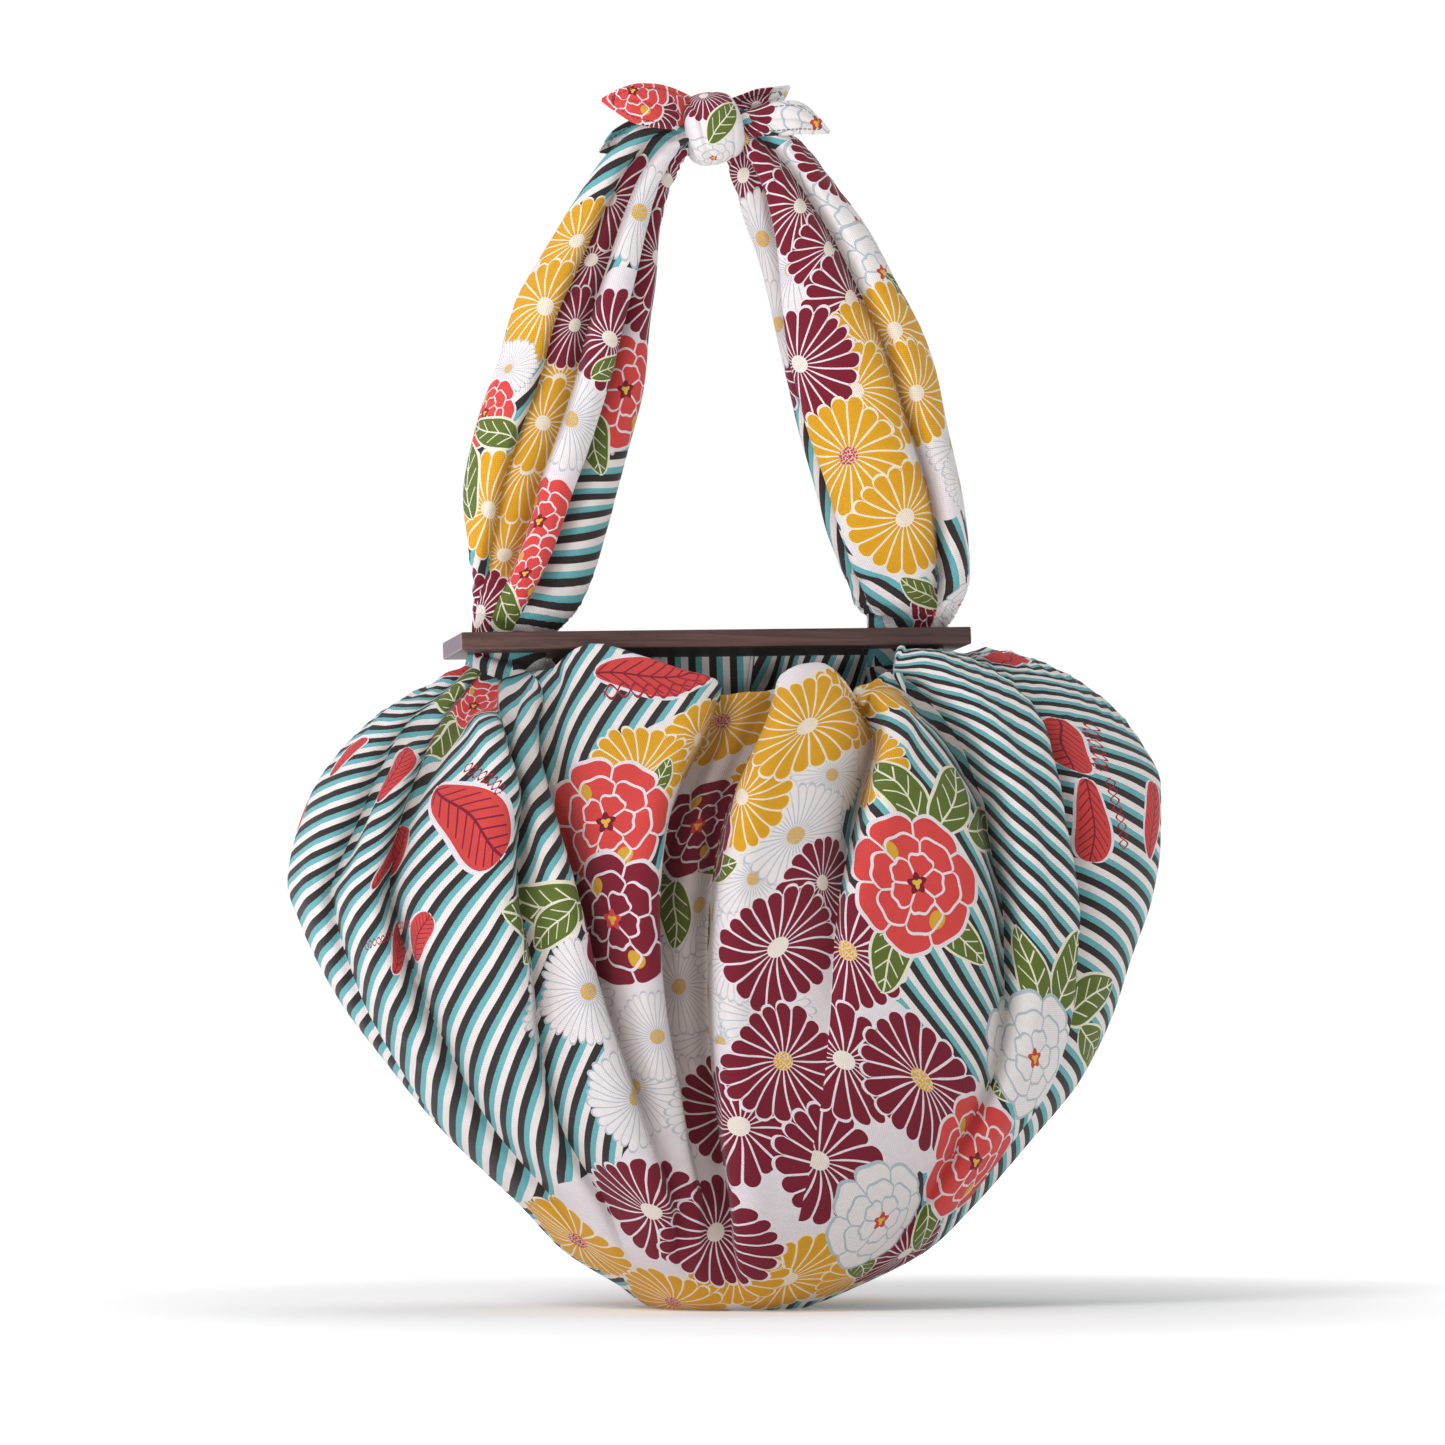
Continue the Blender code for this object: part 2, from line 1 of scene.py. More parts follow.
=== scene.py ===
# A furoshiki bag: one square of printed cotton gathered through a walnut plate and knotted on top.
# Metres in the meshes, millimetres in the tables; the front faces -Y and the base stands on z = 0.
import math
from functools import partialmethod

import bmesh
import bpy
import numpy as np
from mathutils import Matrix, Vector


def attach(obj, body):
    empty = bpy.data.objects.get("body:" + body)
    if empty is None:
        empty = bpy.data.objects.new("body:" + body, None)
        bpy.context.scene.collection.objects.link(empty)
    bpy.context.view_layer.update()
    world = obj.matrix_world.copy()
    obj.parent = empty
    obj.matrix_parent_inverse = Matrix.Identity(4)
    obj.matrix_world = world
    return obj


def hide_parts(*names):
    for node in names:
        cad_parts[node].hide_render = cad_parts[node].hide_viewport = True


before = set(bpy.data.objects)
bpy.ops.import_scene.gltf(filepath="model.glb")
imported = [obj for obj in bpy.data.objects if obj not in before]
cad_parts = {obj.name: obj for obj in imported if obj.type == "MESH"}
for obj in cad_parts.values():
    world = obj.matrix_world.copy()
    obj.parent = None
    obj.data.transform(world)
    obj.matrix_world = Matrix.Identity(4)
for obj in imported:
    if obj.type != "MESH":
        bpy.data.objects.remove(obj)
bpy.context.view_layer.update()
print("frame loaded")

mm = 0.001
centreShift = np.array((-0.7, 0.4, 0.0))  # the solids carry the same shift
photoTurn = math.radians(13.0)  # the bag stands turned this much to the camera


# Curves through the tables.
def hermite(ys, tangent, step, xs, i, at):
    u = np.clip((at - xs[i]) / step[i], 0, 1)
    start = ys[i] * (1 + 2 * u) * (1 - u) ** 2 + tangent[i] * step[i] * u * (1 - u) ** 2
    return start + ys[i + 1] * u * u * (3 - 2 * u) + tangent[i + 1] * step[i] * u * u * (u - 1)


def eased(xs, ys, at):  # smooth, and never past the rows
    xs, ys, at = np.asarray(xs, float), np.asarray(ys, float), np.asarray(at, float)
    step = np.diff(xs)
    slope = np.diff(ys) / step
    both = slope[:-1] + slope[1:]
    same = slope[:-1] * slope[1:] > 0
    tangent = np.zeros_like(ys)
    tangent[1:-1] = np.where(same, 2 * slope[:-1] * slope[1:] / np.where(both == 0, 1, both), 0)
    tangent[0], tangent[-1] = slope[0], slope[-1]
    i = np.clip(np.searchsorted(xs, at) - 1, 0, len(xs) - 2)
    return hermite(ys, tangent, step, xs, i, at)


def easedRound(xs, ys, at, wrap=3, turn=360.0):
    xs, ys = np.asarray(xs, float), np.asarray(ys, float)
    longX = np.concatenate([xs[-wrap:] - turn, xs, xs[:wrap] + turn])
    longY = np.concatenate([ys[-wrap:], ys, ys[:wrap]])
    at = np.mod(np.asarray(at, float), turn)
    step = np.diff(longX)
    slope = np.diff(longY) / step
    tangent = np.zeros_like(longY)
    tangent[1:-1] = (slope[:-1] * step[1:] + slope[1:] * step[:-1]) / (step[:-1] + step[1:])
    i = np.clip(np.searchsorted(longX, at, side="right") - 1, 1, len(longX) - 3)
    return hermite(longY, tangent, step, longX, i, at)


def sized(names, rows, at):  # each column of a table, at places between its rows
    index = np.arange(len(rows))
    return {name: eased(index, values, at) for name, values in zip(names, zip(*rows)) if name != "name"}


def ramp(low, high, value):
    u = np.clip((value - low) / (high - low), 0, 1)
    return u * u * (3 - 2 * u)


def rayAt(degrees):
    return np.array((math.cos(math.radians(degrees)), math.sin(math.radians(degrees))))


def unit(vectors):
    length = np.linalg.norm(vectors, axis=-1, keepdims=True)
    return vectors / np.where(length == 0, 1, length)


def arcAlong(points, axis):  # running length, from 0 at the start
    steps = np.linalg.norm(np.diff(points, axis=axis), axis=-1)
    first = np.zeros_like(np.take(steps, [0], axis=axis))
    return np.concatenate([first, np.cumsum(steps, axis=axis)], axis=axis)


def closed(grid):  # the first column again at the end
    return np.concatenate([grid, grid[:, :1]], axis=1)


# Grids, charts and print.
def addObject(name, data):
    thing = bpy.data.objects.new(name, data)
    bpy.context.scene.collection.objects.link(thing)
    return thing


def keepValues(thing, name, kind, domain, values):
    layer = thing.data.attributes.new(name, kind, domain)
    layer.data.foreach_set("vector" if kind == "FLOAT_VECTOR" else "value", np.ravel(values))


def gridMesh(name, points, panelOf, charts, depth=None):
    # points: rows x columns x 3 in mm. panelOf: the fold each column of faces is on.
    # charts: fold x rows x columns x 2, the place on the flat cloth in metres.
    # depth: rows x columns, 0 on the open cloth and 1 at the bottom of a deep fold; it sets the painted fold
    # shade.
    rows, cols = points.shape[:2]
    mesh = bmesh.new()
    bmesh.ops.create_grid(mesh, x_segments=cols - 1, y_segments=rows - 1, size=0.5)
    data = bpy.data.meshes.new(name)
    mesh.to_mesh(data)
    mesh.free()
    thing = addObject(name, data)
    spot = np.zeros(len(data.vertices) * 3)
    data.vertices.foreach_get("co", spot)
    spot = spot.reshape(-1, 3)
    col = np.rint((spot[:, 0] + 0.5) * (cols - 1)).astype(int)
    row = np.rint((spot[:, 1] + 0.5) * (rows - 1)).astype(int)
    points = points + centreShift
    data.vertices.foreach_set("co", (points[row, col] * mm).ravel())
    if depth is not None:
        keepValues(thing, "foldShadeDepth", "FLOAT", "POINT", depth[row, col])
    corner = np.zeros(len(data.loops), int)
    data.loops.foreach_get("vertex_index", corner)
    corner = corner.reshape(-1, 4)
    panel = np.asarray(panelOf)[col[corner].min(axis=1)]
    flat = charts[panel[:, None], row[corner], col[corner]]
    data.uv_layers.new(name="flat").data.foreach_set("uv", flat.ravel())
    for polygon in data.polygons:
        polygon.use_smooth = True
    return thing, flat, points[row[corner], col[corner]]


def weld(thing, outward=False, distance=2e-6):
    mesh = bmesh.new()
    mesh.from_mesh(thing.data)
    bmesh.ops.remove_doubles(mesh, verts=mesh.verts, dist=distance)
    bmesh.ops.dissolve_degenerate(mesh, edges=mesh.edges, dist=distance / 4)
    if outward:
        bmesh.ops.recalc_face_normals(mesh, faces=mesh.faces)
    mesh.to_mesh(thing.data)
    mesh.free()


def addThickness(thing, thick, offset, innerSlot):
    wall = thing.modifiers.new("thickness", "SOLIDIFY")
    wall.thickness = thick * mm
    wall.offset = offset
    wall.use_even_offset = False
    wall.material_offset = innerSlot
    wall.use_rim = True


motifKinds = ("none", "yellowMum", "yellowRedMum", "whiteMum", "burgundyMum", "burgundyGoldMum",
              "coralPeony", "burgundyPeony", "whitePeony", "leaf", "wing", "chain")
motifLayers = ("motifA", "motifB", "motifC", "motifD")
printing = {
    "facing": 0.15,  # how squarely a face looks at the viewer to take a motif's middle
    "nearer": 0.02,  # how much a nearer face is preferred
    "reach": 1.2,  # radii out to which a face keeps a motif
    "ownBend": (0.4, 0.618),  # each flower's own, kept in the fraction of its kind
}


def seenFrom(corners, side):
    # The faces' middles as the camera, or someone behind the bag, sees them, and which face it.
    c, s = math.cos(photoTurn), math.sin(photoTurn)
    middle = corners.mean(axis=1)
    normal = unit(np.cross(corners[:, 2] - corners[:, 0], corners[:, 3] - corners[:, 1]))
    across = corners[..., 0] * c - corners[..., 1] * s
    view = np.stack([across, corners[..., 2]], -1)
    toward = -(normal[:, 0] * s + normal[:, 1] * c)
    depth = middle[:, 0] * s + middle[:, 1] * c
    if side == "back":
        view = view * (-1, 1)
        toward, depth = -toward, -depth
    return view, toward > printing["facing"], depth


def laidOut(groups):  # a row for each motif; flowers have no turn
    return [(kind, *row[:3], row[3] if len(row) > 3 else 0) for kind, *rows in groups for row in rows]


def printMotifs(thing, flat, corners, groups, narrow=True, outward=1.0):
    # Each face keeps the four topmost motifs that reach it, as places in the motif's own radii.
    # A narrow piece has them on its back at the same places, a wide one as they look from the front.
    s = printing
    layers = np.zeros((len(motifLayers), len(flat), 4, 3))
    filled = np.zeros(len(flat), int)
    number = 0
    plain = np.zeros((len(flat), 4))
    for side in ("front", "back"):
        view, seen, depth = seenFrom(corners, side)
        seen = seen if outward > 0 else ~seen
        middle = view.mean(axis=1)
        for kind, x, z, size, turn in reversed(laidOut(groups)):
            across = -x if narrow and side == "back" else x
            away = np.hypot(middle[:, 0] - across, middle[:, 1] - z)
            face = int(np.argmin(np.where(seen, away + s["nearer"] * depth, np.inf)))
            place = flat[face].mean(axis=0)
            local = (flat - place) / (size * mm)
            if kind == "patch":  # bare ground, whose rim is where this comes down to 1
                plain = np.maximum(plain, 2 - np.linalg.norm(local, axis=-1))
                continue
            toView = np.linalg.lstsq(flat[face] - place, view[face] - middle[face], rcond=None)[0].T
            along = np.linalg.lstsq(toView, rayAt(turn), rcond=None)[0]
            along = along / max(np.linalg.norm(along), 1e-9)
            flip = 1.0 if np.linalg.det(toView) > 0 else -1.0
            lx = local @ along
            ly = flip * (local @ np.array((-along[1], along[0])))
            reached = (np.hypot(lx, ly) < s["reach"]).any(axis=1) & (filled < len(motifLayers))
            reached = reached.nonzero()[0]
            number += 1
            code = motifKinds.index(kind) + s["ownBend"][0] * (number * s["ownBend"][1] % 1)
            layers[filled[reached], reached] = np.stack([lx, ly, np.full_like(lx, code)], -1)[reached]
            filled[reached] += 1
    keepValues(thing, "plainGround", "FLOAT", "CORNER", plain)
    for name, values in zip(motifLayers, layers):
        keepValues(thing, name, "FLOAT_VECTOR", "CORNER", values)


# The printed motifs, bottom to top: kind, then where each shows from the front, its radius in mm
# and, for a leaf, a wing or a chain, the way it points in degrees.
bodyMotifs = (
    ("patch", (-44, 153, 30), (-14, 153, 40), (16, 173, 36), (16, 123, 40), (-19, 108, 36), (-44, 123, 26),
     (36, 213, 36), (-4, 203, 36), (51, 148, 36), (66, 98, 36), (36, 93, 40), (9, 73, 40), (-19, 68, 34),
     (61, 58, 36), (31, 43, 40), (-4, 18, 40), (-34, 23, 40), (-54, 40, 34), (66, 23, 36), (36, 263, 34),
     (4, 283, 40), (51, 303, 34), (-24, 268, 32), (71, 283, 24), (81, 133, 24), (101, 98, 30),
     (116, 88, 26), (-64, 173, 24), (44, 160, 25), (26, 243, 34)),
    ("whiteMum", (-70, 158, 28), (-45, 111, 28), (-4, 135, 27), (-22, 160, 25), (-15, 200, 27),
     (-15, 102, 27), (-36, 133, 24), (15, 213, 25), (16, 148, 26), (4, 173, 24), (52, 262, 24),
     (34, 236, 31)),
    ("yellowRedMum", (-1, 292, 28)),
    ("yellowMum", (65, 307, 26), (72, 270, 27), (6, 254, 29), (-14, 280, 26), (-43, 265, 29),
     (57, 298, 28), (37, 288, 33), (32, 16, 30), (1, 20, 26), (66, 19, 26)),
    ("burgundyMum", (87, 28, 28), (48, 209, 27), (3, 94, 31), (23, 181, 33)),
    ("burgundyGoldMum", (56, 176, 32), (27, 124, 31)),
    ("burgundyMum", (43, 78, 35), (60, 123, 35)),
    ("burgundyGoldMum", (97, 114, 35)),
    ("leaf", (86, 256, 23, 125), (112, 254, 23, 70), (127, 238, 23, 14), (84, 178, 22, -110),
     (110, 186, 20, -50), (141, 110, 15, -150), (149, 166, 22, 110), (170, 167, 22, 75),
     (180, 155, 22, 30), (182, 130, 20, -75), (99, 40, 16, -100), (67, 22, 15, -80), (-86, 200, 25, 175),
     (-84, 188, 18, -130), (-34, 206, 17, -60), (-25, 196, 17, -90), (-6, 222, 17, 5), (-36, 258, 14, 60),
     (-140, 286, 20, -140), (-136, 303, 18, 130), (-125, 319, 16, 60)),
    ("whitePeony", (73, 46, 29), (152, 126, 31)),
    ("coralPeony", (122, 74, 33)),
    ("burgundyPeony", (-14, 240, 27)),
    ("coralPeony", (-61, 240, 34)),
    ("burgundyPeony", (-53, 190, 34)),
    ("coralPeony", (91, 213, 35), (-124, 299, 17)),
    ("yellowRedMum", (-74, 34, 32), (-26, 4, 32)),
    ("burgundyMum", (-39, 52, 33), (-5, 39, 32)),
    ("wing", (-124, 241, 31, -45), (-165, 265, 17, 60), (-161, 228, 13, 70), (-161, 181, 15, 80),
     (-36, 313, 30), (170, 283, 20, -75), (185, 241, 22, -90), (141, 326, 14, 80), (215, 246, 20, 85),
     (-189, 272, 12, 50)),
    ("chain", (-118, 260, 15, -40), (-34, 306, 26, 5), (182, 280, 18, -85), (195, 247, 18, -80),
     (-158, 190, 10, 20)),
)
leftMotifs = (
    ("patch", (-64, 533, 36), (-44, 523, 34), (-74, 488, 36), (-54, 483, 34), (-84, 453, 34),
     (-64, 453, 30), (-84, 503, 32), (-44, 563, 30), (-104, 423, 24), (-84, 418, 22), (-39, 493, 26),
     (-44, 463, 26)),
    ("whiteMum", (-43, 546, 30), (-77, 441, 28)),
    ("whitePeony", (-105, 462, 22)),
    ("whiteMum", (-64, 446, 25)),
    ("burgundyMum", (-37, 504, 26), (-30, 563, 26), (-69, 522, 24), (-58, 552, 28), (-36, 526, 26)),
    ("yellowMum", (-74, 530, 24), (-92, 496, 28), (-84, 458, 30), (-111, 375, 27), (-98, 415, 28),
     (-91, 438, 26)),
    ("whiteMum", (-109, 466, 17)),
    ("yellowMum", (-117, 398, 29)),
    ("burgundyMum", (-76, 488, 22), (-58, 481, 29), (-124, 346, 22)),
    ("coralPeony", (-49, 455, 30)),
    ("leaf", (-65, 431, 16, -80), (-58, 467, 12, 40)),
    ("coralPeony", (-95, 388, 24), (-100, 364, 20)),
    ("leaf", (-111, 348, 15, -60)),
    ("coralPeony", (-120, 443, 18)),
    ("leaf", (-115, 434, 16, 160), (-129, 412, 18, 90)),
)
rightMotifs = (
    ("burgundyMum", (8, 566, 26)),
    ("patch", (21, 568, 36), (31, 533, 34), (36, 503, 34), (46, 478, 36), (66, 533, 34), (51, 553, 34),
     (76, 503, 34), (66, 443, 36), (86, 453, 34), (76, 418, 36), (86, 393, 30), (101, 432, 28),
     (108, 412, 17), (46, 453, 28), (76, 478, 34), (106, 463, 26)),
    ("whiteMum", (19, 533, 27), (32, 519, 28), (26, 493, 26)),
    ("whitePeony", (54, 560, 28), (66, 544, 30), (77, 519, 27)),
    ("leaf", (87, 509, 12, -50)),
    ("burgundyMum", (9, 584, 26)),
    ("burgundyGoldMum", (8, 586, 28)),
    ("burgundyMum", (32, 564, 28), (36, 550, 26), (51, 573, 22), (51, 528, 24), (63, 504, 30)),
    ("whiteMum", (117, 433, 24), (117, 414, 18)),
    ("yellowMum", (84, 486, 28), (72, 480, 28), (80, 453, 29), (66, 456, 27), (94, 458, 29)),
    ("burgundyMum", (37, 471, 32)),
    ("yellowRedMum", (59, 425, 32)),
    ("yellowMum", (90, 394, 31)),
    ("burgundyPeony", (104, 346, 14)),
    ("leaf", (97, 358, 13, 150), (122, 347, 14, 70)),
    ("whitePeony", (118, 352, 13)),
)


# The hanging body: rows of heights and reaches, as in the solid.
levelColumns = ("name", "zl", "left", "zr", "right", "zf", "front", "zb", "back")
levels = (
    ("pole", 0, 0, 0, 0, 0, 0, 0, 0),
    ("flatMid", 0, 20, 0, 20, 0, 20, 0, 20),
    ("flatEdge", 0, 36, 0, 38, 0, 36, 0, 36),
    ("turn", 3, 43, 3, 48, 3, 47, 3, 47),
    ("lift", 10, 52, 11, 67, 10, 58, 10, 58),
    ("low", 28, 81, 28, 101, 28, 75, 28, 75),
    ("lowFlank", 50, 103, 50, 124.5, 50, 87, 50, 87),
    ("flankA", 86, 141, 82, 154, 82, 97, 82, 97),
    ("flankB", 120, 169.5, 114, 182, 114, 103, 114, 102),
    ("flankC", 155, 196, 145, 199, 147, 105, 147, 104),
    ("flankD", 189, 213.5, 175, 209.5, 178, 104, 178, 103),
    ("widestA", 212, 220.5, 204, 219.5, 205, 101, 205, 100),
    ("widestB", 235, 217.5, 231, 224, 229, 96, 229, 95),
    ("shoulderA", 258, 210, 261, 225, 251, 90, 251, 89),
    ("shoulderB", 279, 195, 284, 215, 270, 82, 270, 81),
    ("shoulderC", 297, 175, 307, 198, 286, 74, 286, 73),
    ("gatherA", 309, 156, 328, 170, 299, 66, 299, 65),
    ("gatherB", 317, 143, 335, 150, 308, 59, 309, 58),
    ("rim", 322, 133, 330, 129, 312, 56, 316, 55),
)
lastLevel = len(levels) - 1
roundness = ((0, 2.0), (4, 2.1), (8, 2.15), (12, 2.1), (15, 1.95), (18, 1.8))  # level, power
rimFromLevel = 13.2
rim = (  # angle, x, y, z
    (0, 113, 0, 325), (18, 104, 8, 324.5), (34, 87, 12, 323), (46, 80, 33, 329), (60, 50, 45, 333),
    (75, 20, 52, 334), (90, -5, 54, 331), (105, -32, 52, 332), (120, -62, 46, 331),
    (134, -84, 34, 329), (146, -102, 12, 319), (162, -123, 8, 319.5), (180, -133, 0, 319.5),
    (198, -123, -8, 319.5), (214, -104, -12, 319), (227, -80, -34, 328), (243, -50, -46, 320),
    (258, -22, -54, 311), (270, 2, -56, 310), (288, 41, -52, 320), (302, 66, -42, 311),
    (315, 84, -34, 327), (328, 89, -12, 324), (342, 104, -8, 324.5),
)

# Creases up the body: angle and depth at six levels, which side folds over (+1 the side of the
# greater angle), and the turn on the flat cloth of the fold that follows it.
creaseAt = (4, 7, 10, 13, 16, 18)
creases = (
    ("rightEnd", (2, 4, 6, 8, 6, 4), (0, 0, 3, 6, 3, 1), -1, 20),
    ("backRight", (34, 36, 38, 36, 24, 16), (0, 2, 6, 9, 8, 3), -1, 41),
    ("backRightMid", (62, 60, 58, 54, 44, 36), (0, 4, 8, 12, 9, 4), 1, 62),
    ("backMidRight", (84, 82, 80, 78, 74, 70), (2, 7, 10, 11, 9, 6), 1, 90),
    ("backMidLeft", (106, 104, 103, 104, 104, 104), (0, 4, 9, 12, 9, 6), -1, 117),
    ("backLeftMid", (126, 128, 127, 128, 138, 142), (0, 5, 8, 11, 9, 4), 1, 139),
    ("backLeft", (148, 150, 148, 148, 160, 166), (0, 2, 7, 9, 7, 3), -1, 196),
    ("leftLobe", (180, 184, 192, 202, 195, 188), (0, 0, 4, 8, 6, 3), -1, 212),
    ("leftHemSide", (200, 204, 211, 213, 204, 197), (0, 3, 8, 10, 6, 3), -1, 222),
    ("leftFront", (218, 226, 237, 235.5, 215, 206), (0, 4, 7, 9, 8, 4), -1, 234),
    ("leftDeep", (238, 247, 246.8, 241, 224, 214), (0, 5, 10, 13, 10, 4), -1, 246),
    ("midLeft", (251, 255, 256.5, 258, 261, 262), (0, 4, 10, 13, 10, 6), -1, 260),
    ("midDeep", (262, 262, 263.5, 266, 272, 275), (3, 9, 12, 13, 10, 6), 1, 272),
    ("midRight", (277, 277, 278, 283, 293, 298), (0, 0, 4, 11, 9, 6), 1, 312),
    ("rightDeep", (316, 313, 307.5, 303, 306, 309), (0, 4, 9, 13, 10, 4), 1, 330),
    ("rightHemSide", (336, 330, 321, 314, 327, 336), (0, 0, 4, 9, 8, 3), -1, 350),
)

clothBody = {
    "rows": 118,  # from the base to the rim
    "rowAngle": 300.0,  # the side that the rows are spaced along
    "columnsInFold": 19,
    "bunching": 0.11,  # how much closer the columns stand beside a crease
    "steepSide": 3.2,  # mm, the overlapping side of a crease
    "gentleSide": 15.0,
    "creaseFrom": (3.0, 6.0),  # levels between which the creases begin
    "depthGain": 1.9,  # how much deeper the soft cloth folds than the solid
    "room": (0.3, 0.2),  # no crease goes further in than this share of y, plus mm
    "overlap": 4.2,  # mm that the overlapping side reaches across
    "overlapFrom": 9.0,  # mm deep, where it reaches its full width
    "slide": (5.0, 3.6),  # mm beside the crease where it reaches across, and how widely
    "shadeFrom": 20.0,  # mm deep, where the painted fold shade is darkest
    "undulation": 0.66,  # mm
    # share, waves in a turn, climb in a level, start
    "waves": ((1.0, 5, 0.55, 0.7), (0.8, 9, -0.8, 2.1), (0.6, 14, 1.1, 4.0), (0.5, 2, 1.7, 1.0)),
    "waveFrom": (3.5, 7.0),  # levels
    "waveTo": (18.0, 14.0),
    "gatherRipple": 1.0,  # mm, fine folds that fan out of the slots
    "ripplePitch": 11.0,
    "rippleFrom": (12.5, 16.5),
    "rippleTo": (18.5, 16.8),
    "thickness": 0.8,  # mm
    "lipRows": 12,
    "lipDepth": 40.0,  # mm of cloth turned in at the mouth
    "lipRoll": 2.4,
    "lipBend": 0.35,  # share of the lip's rows that make the roll
    "lipFree": (18.0, 34.0),  # mm from the slots' line, where the lip gets its full depth
    "chartFrom": (0.08, 0.24),  # m along the cloth from the base, where folds part
    "cutSide": 1.04,  # m, the square before it is tied
    "cutArea": 0.44,  # m2 of it that this piece holds
}


def powerOf(signed, exponent):
    return np.sign(signed) * np.abs(signed) ** exponent


def ring(angle, level):
    # The body without its creases, in mm.
    angle, level = np.broadcast_arrays(np.asarray(angle, float), np.asarray(level, float))
    c, s = np.cos(np.radians(angle)), np.sin(np.radians(angle))

    def outline(part, exponent):
        x = np.where(c > 0, part["right"], part["left"]) * powerOf(c, 2 / exponent)
        y = np.where(s > 0, part["back"], part["front"]) * powerOf(s, 2 / exponent)
        side = np.where(c > 0, part["zr"], part["zl"]) * c * c
        face = np.where(s > 0, part["zb"], part["zf"]) * s * s
        return np.stack([x, y, side + face], -1)

    top = outline(dict(zip(levelColumns, levels[-1])), roundness[-1][1])
    angles, *places = zip(*rim)
    edge = np.stack([easedRound(angles, values, angle) for values in places], -1)
    share = ramp(rimFromLevel, lastLevel, level)[..., None]
    plain = outline(sized(levelColumns, levels, level), eased(*zip(*roundness), level))
    return plain + share * (edge - top)


def gridNormals(grid):
    along = np.gradient(grid, axis=0)
    around = np.roll(grid, -1, axis=1) - np.roll(grid, 1, axis=1)
    return unit(np.cross(around, along))


# What the body's and the straps' folds share.
def foldColumns(angles, wide, bunching):
    # The angle of each column: a fold runs from its own crease to the next one.
    around = np.concatenate([angles, angles[:, :1] + 360.0], axis=1)
    share = np.linspace(0, 1, wide, endpoint=False)
    share = share - bunching * np.sin(2 * np.pi * share)
    return (around[:, :-1, None] + np.diff(around, axis=1)[:, :, None] * share).reshape(len(angles), -1)


def foldSpans(count, wide):  # each fold's columns, and the one in its middle
    return [(slice(k * wide, (k + 1) * wide + 1), k * wide + wide // 2) for k in range(count)]


def creaseFall(away, depth, lean, steep, gentle):
    # A trough with one steep side; away is the signed distance in mm.
    width = np.where(away * lean > 0, steep, gentle)
    fall = depth / (1 + (away / width) ** 2) ** 1.3
    ridge = 0.16 * depth * np.exp(-((away * lean - 3.2 * steep) / (2.0 * steep)) ** 2)
    return fall - ridge


def creaseCloth(plain, wide, leans, depths, reaches, s):
    # The length round each row, how far the creases sink the cloth and how far they slide it across.
    arc = arcAlong(closed(plain), 1)
    fall = np.zeros(plain.shape[:2])
    slide = np.zeros_like(fall)
    for k, (lean, depth, reach) in enumerate(zip(leans, depths, reaches)):
        for turn in (-1, 0, 1):
            away = arc[:, :-1] - arc[:, k * wide:k * wide + 1] + turn * arc[:, -1:]
            fall += creaseFall(away, depth, lean, s["steepSide"], s["gentleSide"])
            slide -= lean * reach * np.exp(-((away * lean - s["slide"][0]) / s["slide"][1]) ** 2)
    return arc[:, :-1], fall, slide


def undulation(s, turn, lift):
    wave = sum(share * np.sin(n * turn + climb * lift + start) for share, n, climb, start in s["waves"])
    return wave * s["undulation"]


def moved(plain, out, rise, slide):
    tangent = unit(np.roll(plain, -1, axis=1) - np.roll(plain, 1, axis=1))
    return plain + out * rise[..., None] + tangent * slide[..., None]


def makeBody():
    s = clothBody
    count, wide = len(creases), s["columnsInFold"]
    fine = np.linspace(0, lastLevel, 600)
    length = arcAlong(ring(np.full(600, s["rowAngle"]), fine), 0)
    level = np.interp(np.linspace(0, length[-1], s["rows"]), length, fine)
    angles, deep = (np.array([eased(creaseAt, row[i], level) for row in creases]).T for i in (1, 2))
    deep = deep * ramp(*s["creaseFrom"], level)[:, None] * s["depthGain"]
    deep = np.split(deep, count, axis=1)
    reaches = [s["overlap"] * np.minimum(1, depth / s["overlapFrom"]) for depth in deep]
    angle = foldColumns(angles, wide, s["bunching"])
    turn, lift = np.radians(angle), level[:, None]
    plain = ring(angle, lift)
    arc, fall, slide = creaseCloth(plain, wide, [row[3] for row in creases], deep, reaches, s)
    fall = np.minimum(fall, s["room"][0] * np.abs(plain[..., 1]) + s["room"][1])
    wave = undulation(s, turn, lift) * ramp(*s["waveFrom"], lift) * ramp(*s["waveTo"], lift)
    slotward = np.abs(np.cos(turn)) ** 3
    ripple = np.sin(arc * 2 * np.pi / s["ripplePitch"] + 0.9 * lift) * ramp(*s["rippleFrom"], lift) * slotward
    ripple = ripple * s["gatherRipple"] * ramp(*s["rippleTo"], lift)
    points = moved(plain, gridNormals(plain), wave + ripple - fall, slide)
    points[..., 2] = np.where(lift <= 2.0, 0.0, np.maximum(points[..., 2], 0.0))
    points = np.concatenate([points, turnedLip(points[-1])], axis=0)
    # Painted shade: how deep each point lies in a fold, to darken the print there.
    depth = np.clip(fall / s["shadeFrom"], 0, 1)
    depth = np.concatenate([depth, np.repeat(depth[-1:], s["lipRows"], axis=0)], axis=0)
    fold = np.repeat(np.arange(count), wide)
    charts = bodyCharts(closed(points), angle)
    thing, places, corners = gridMesh("clothBody", closed(points), fold, charts, closed(depth))
    printMotifs(thing, places, corners, bodyMotifs, narrow=False)
    weld(thing)
    return thing


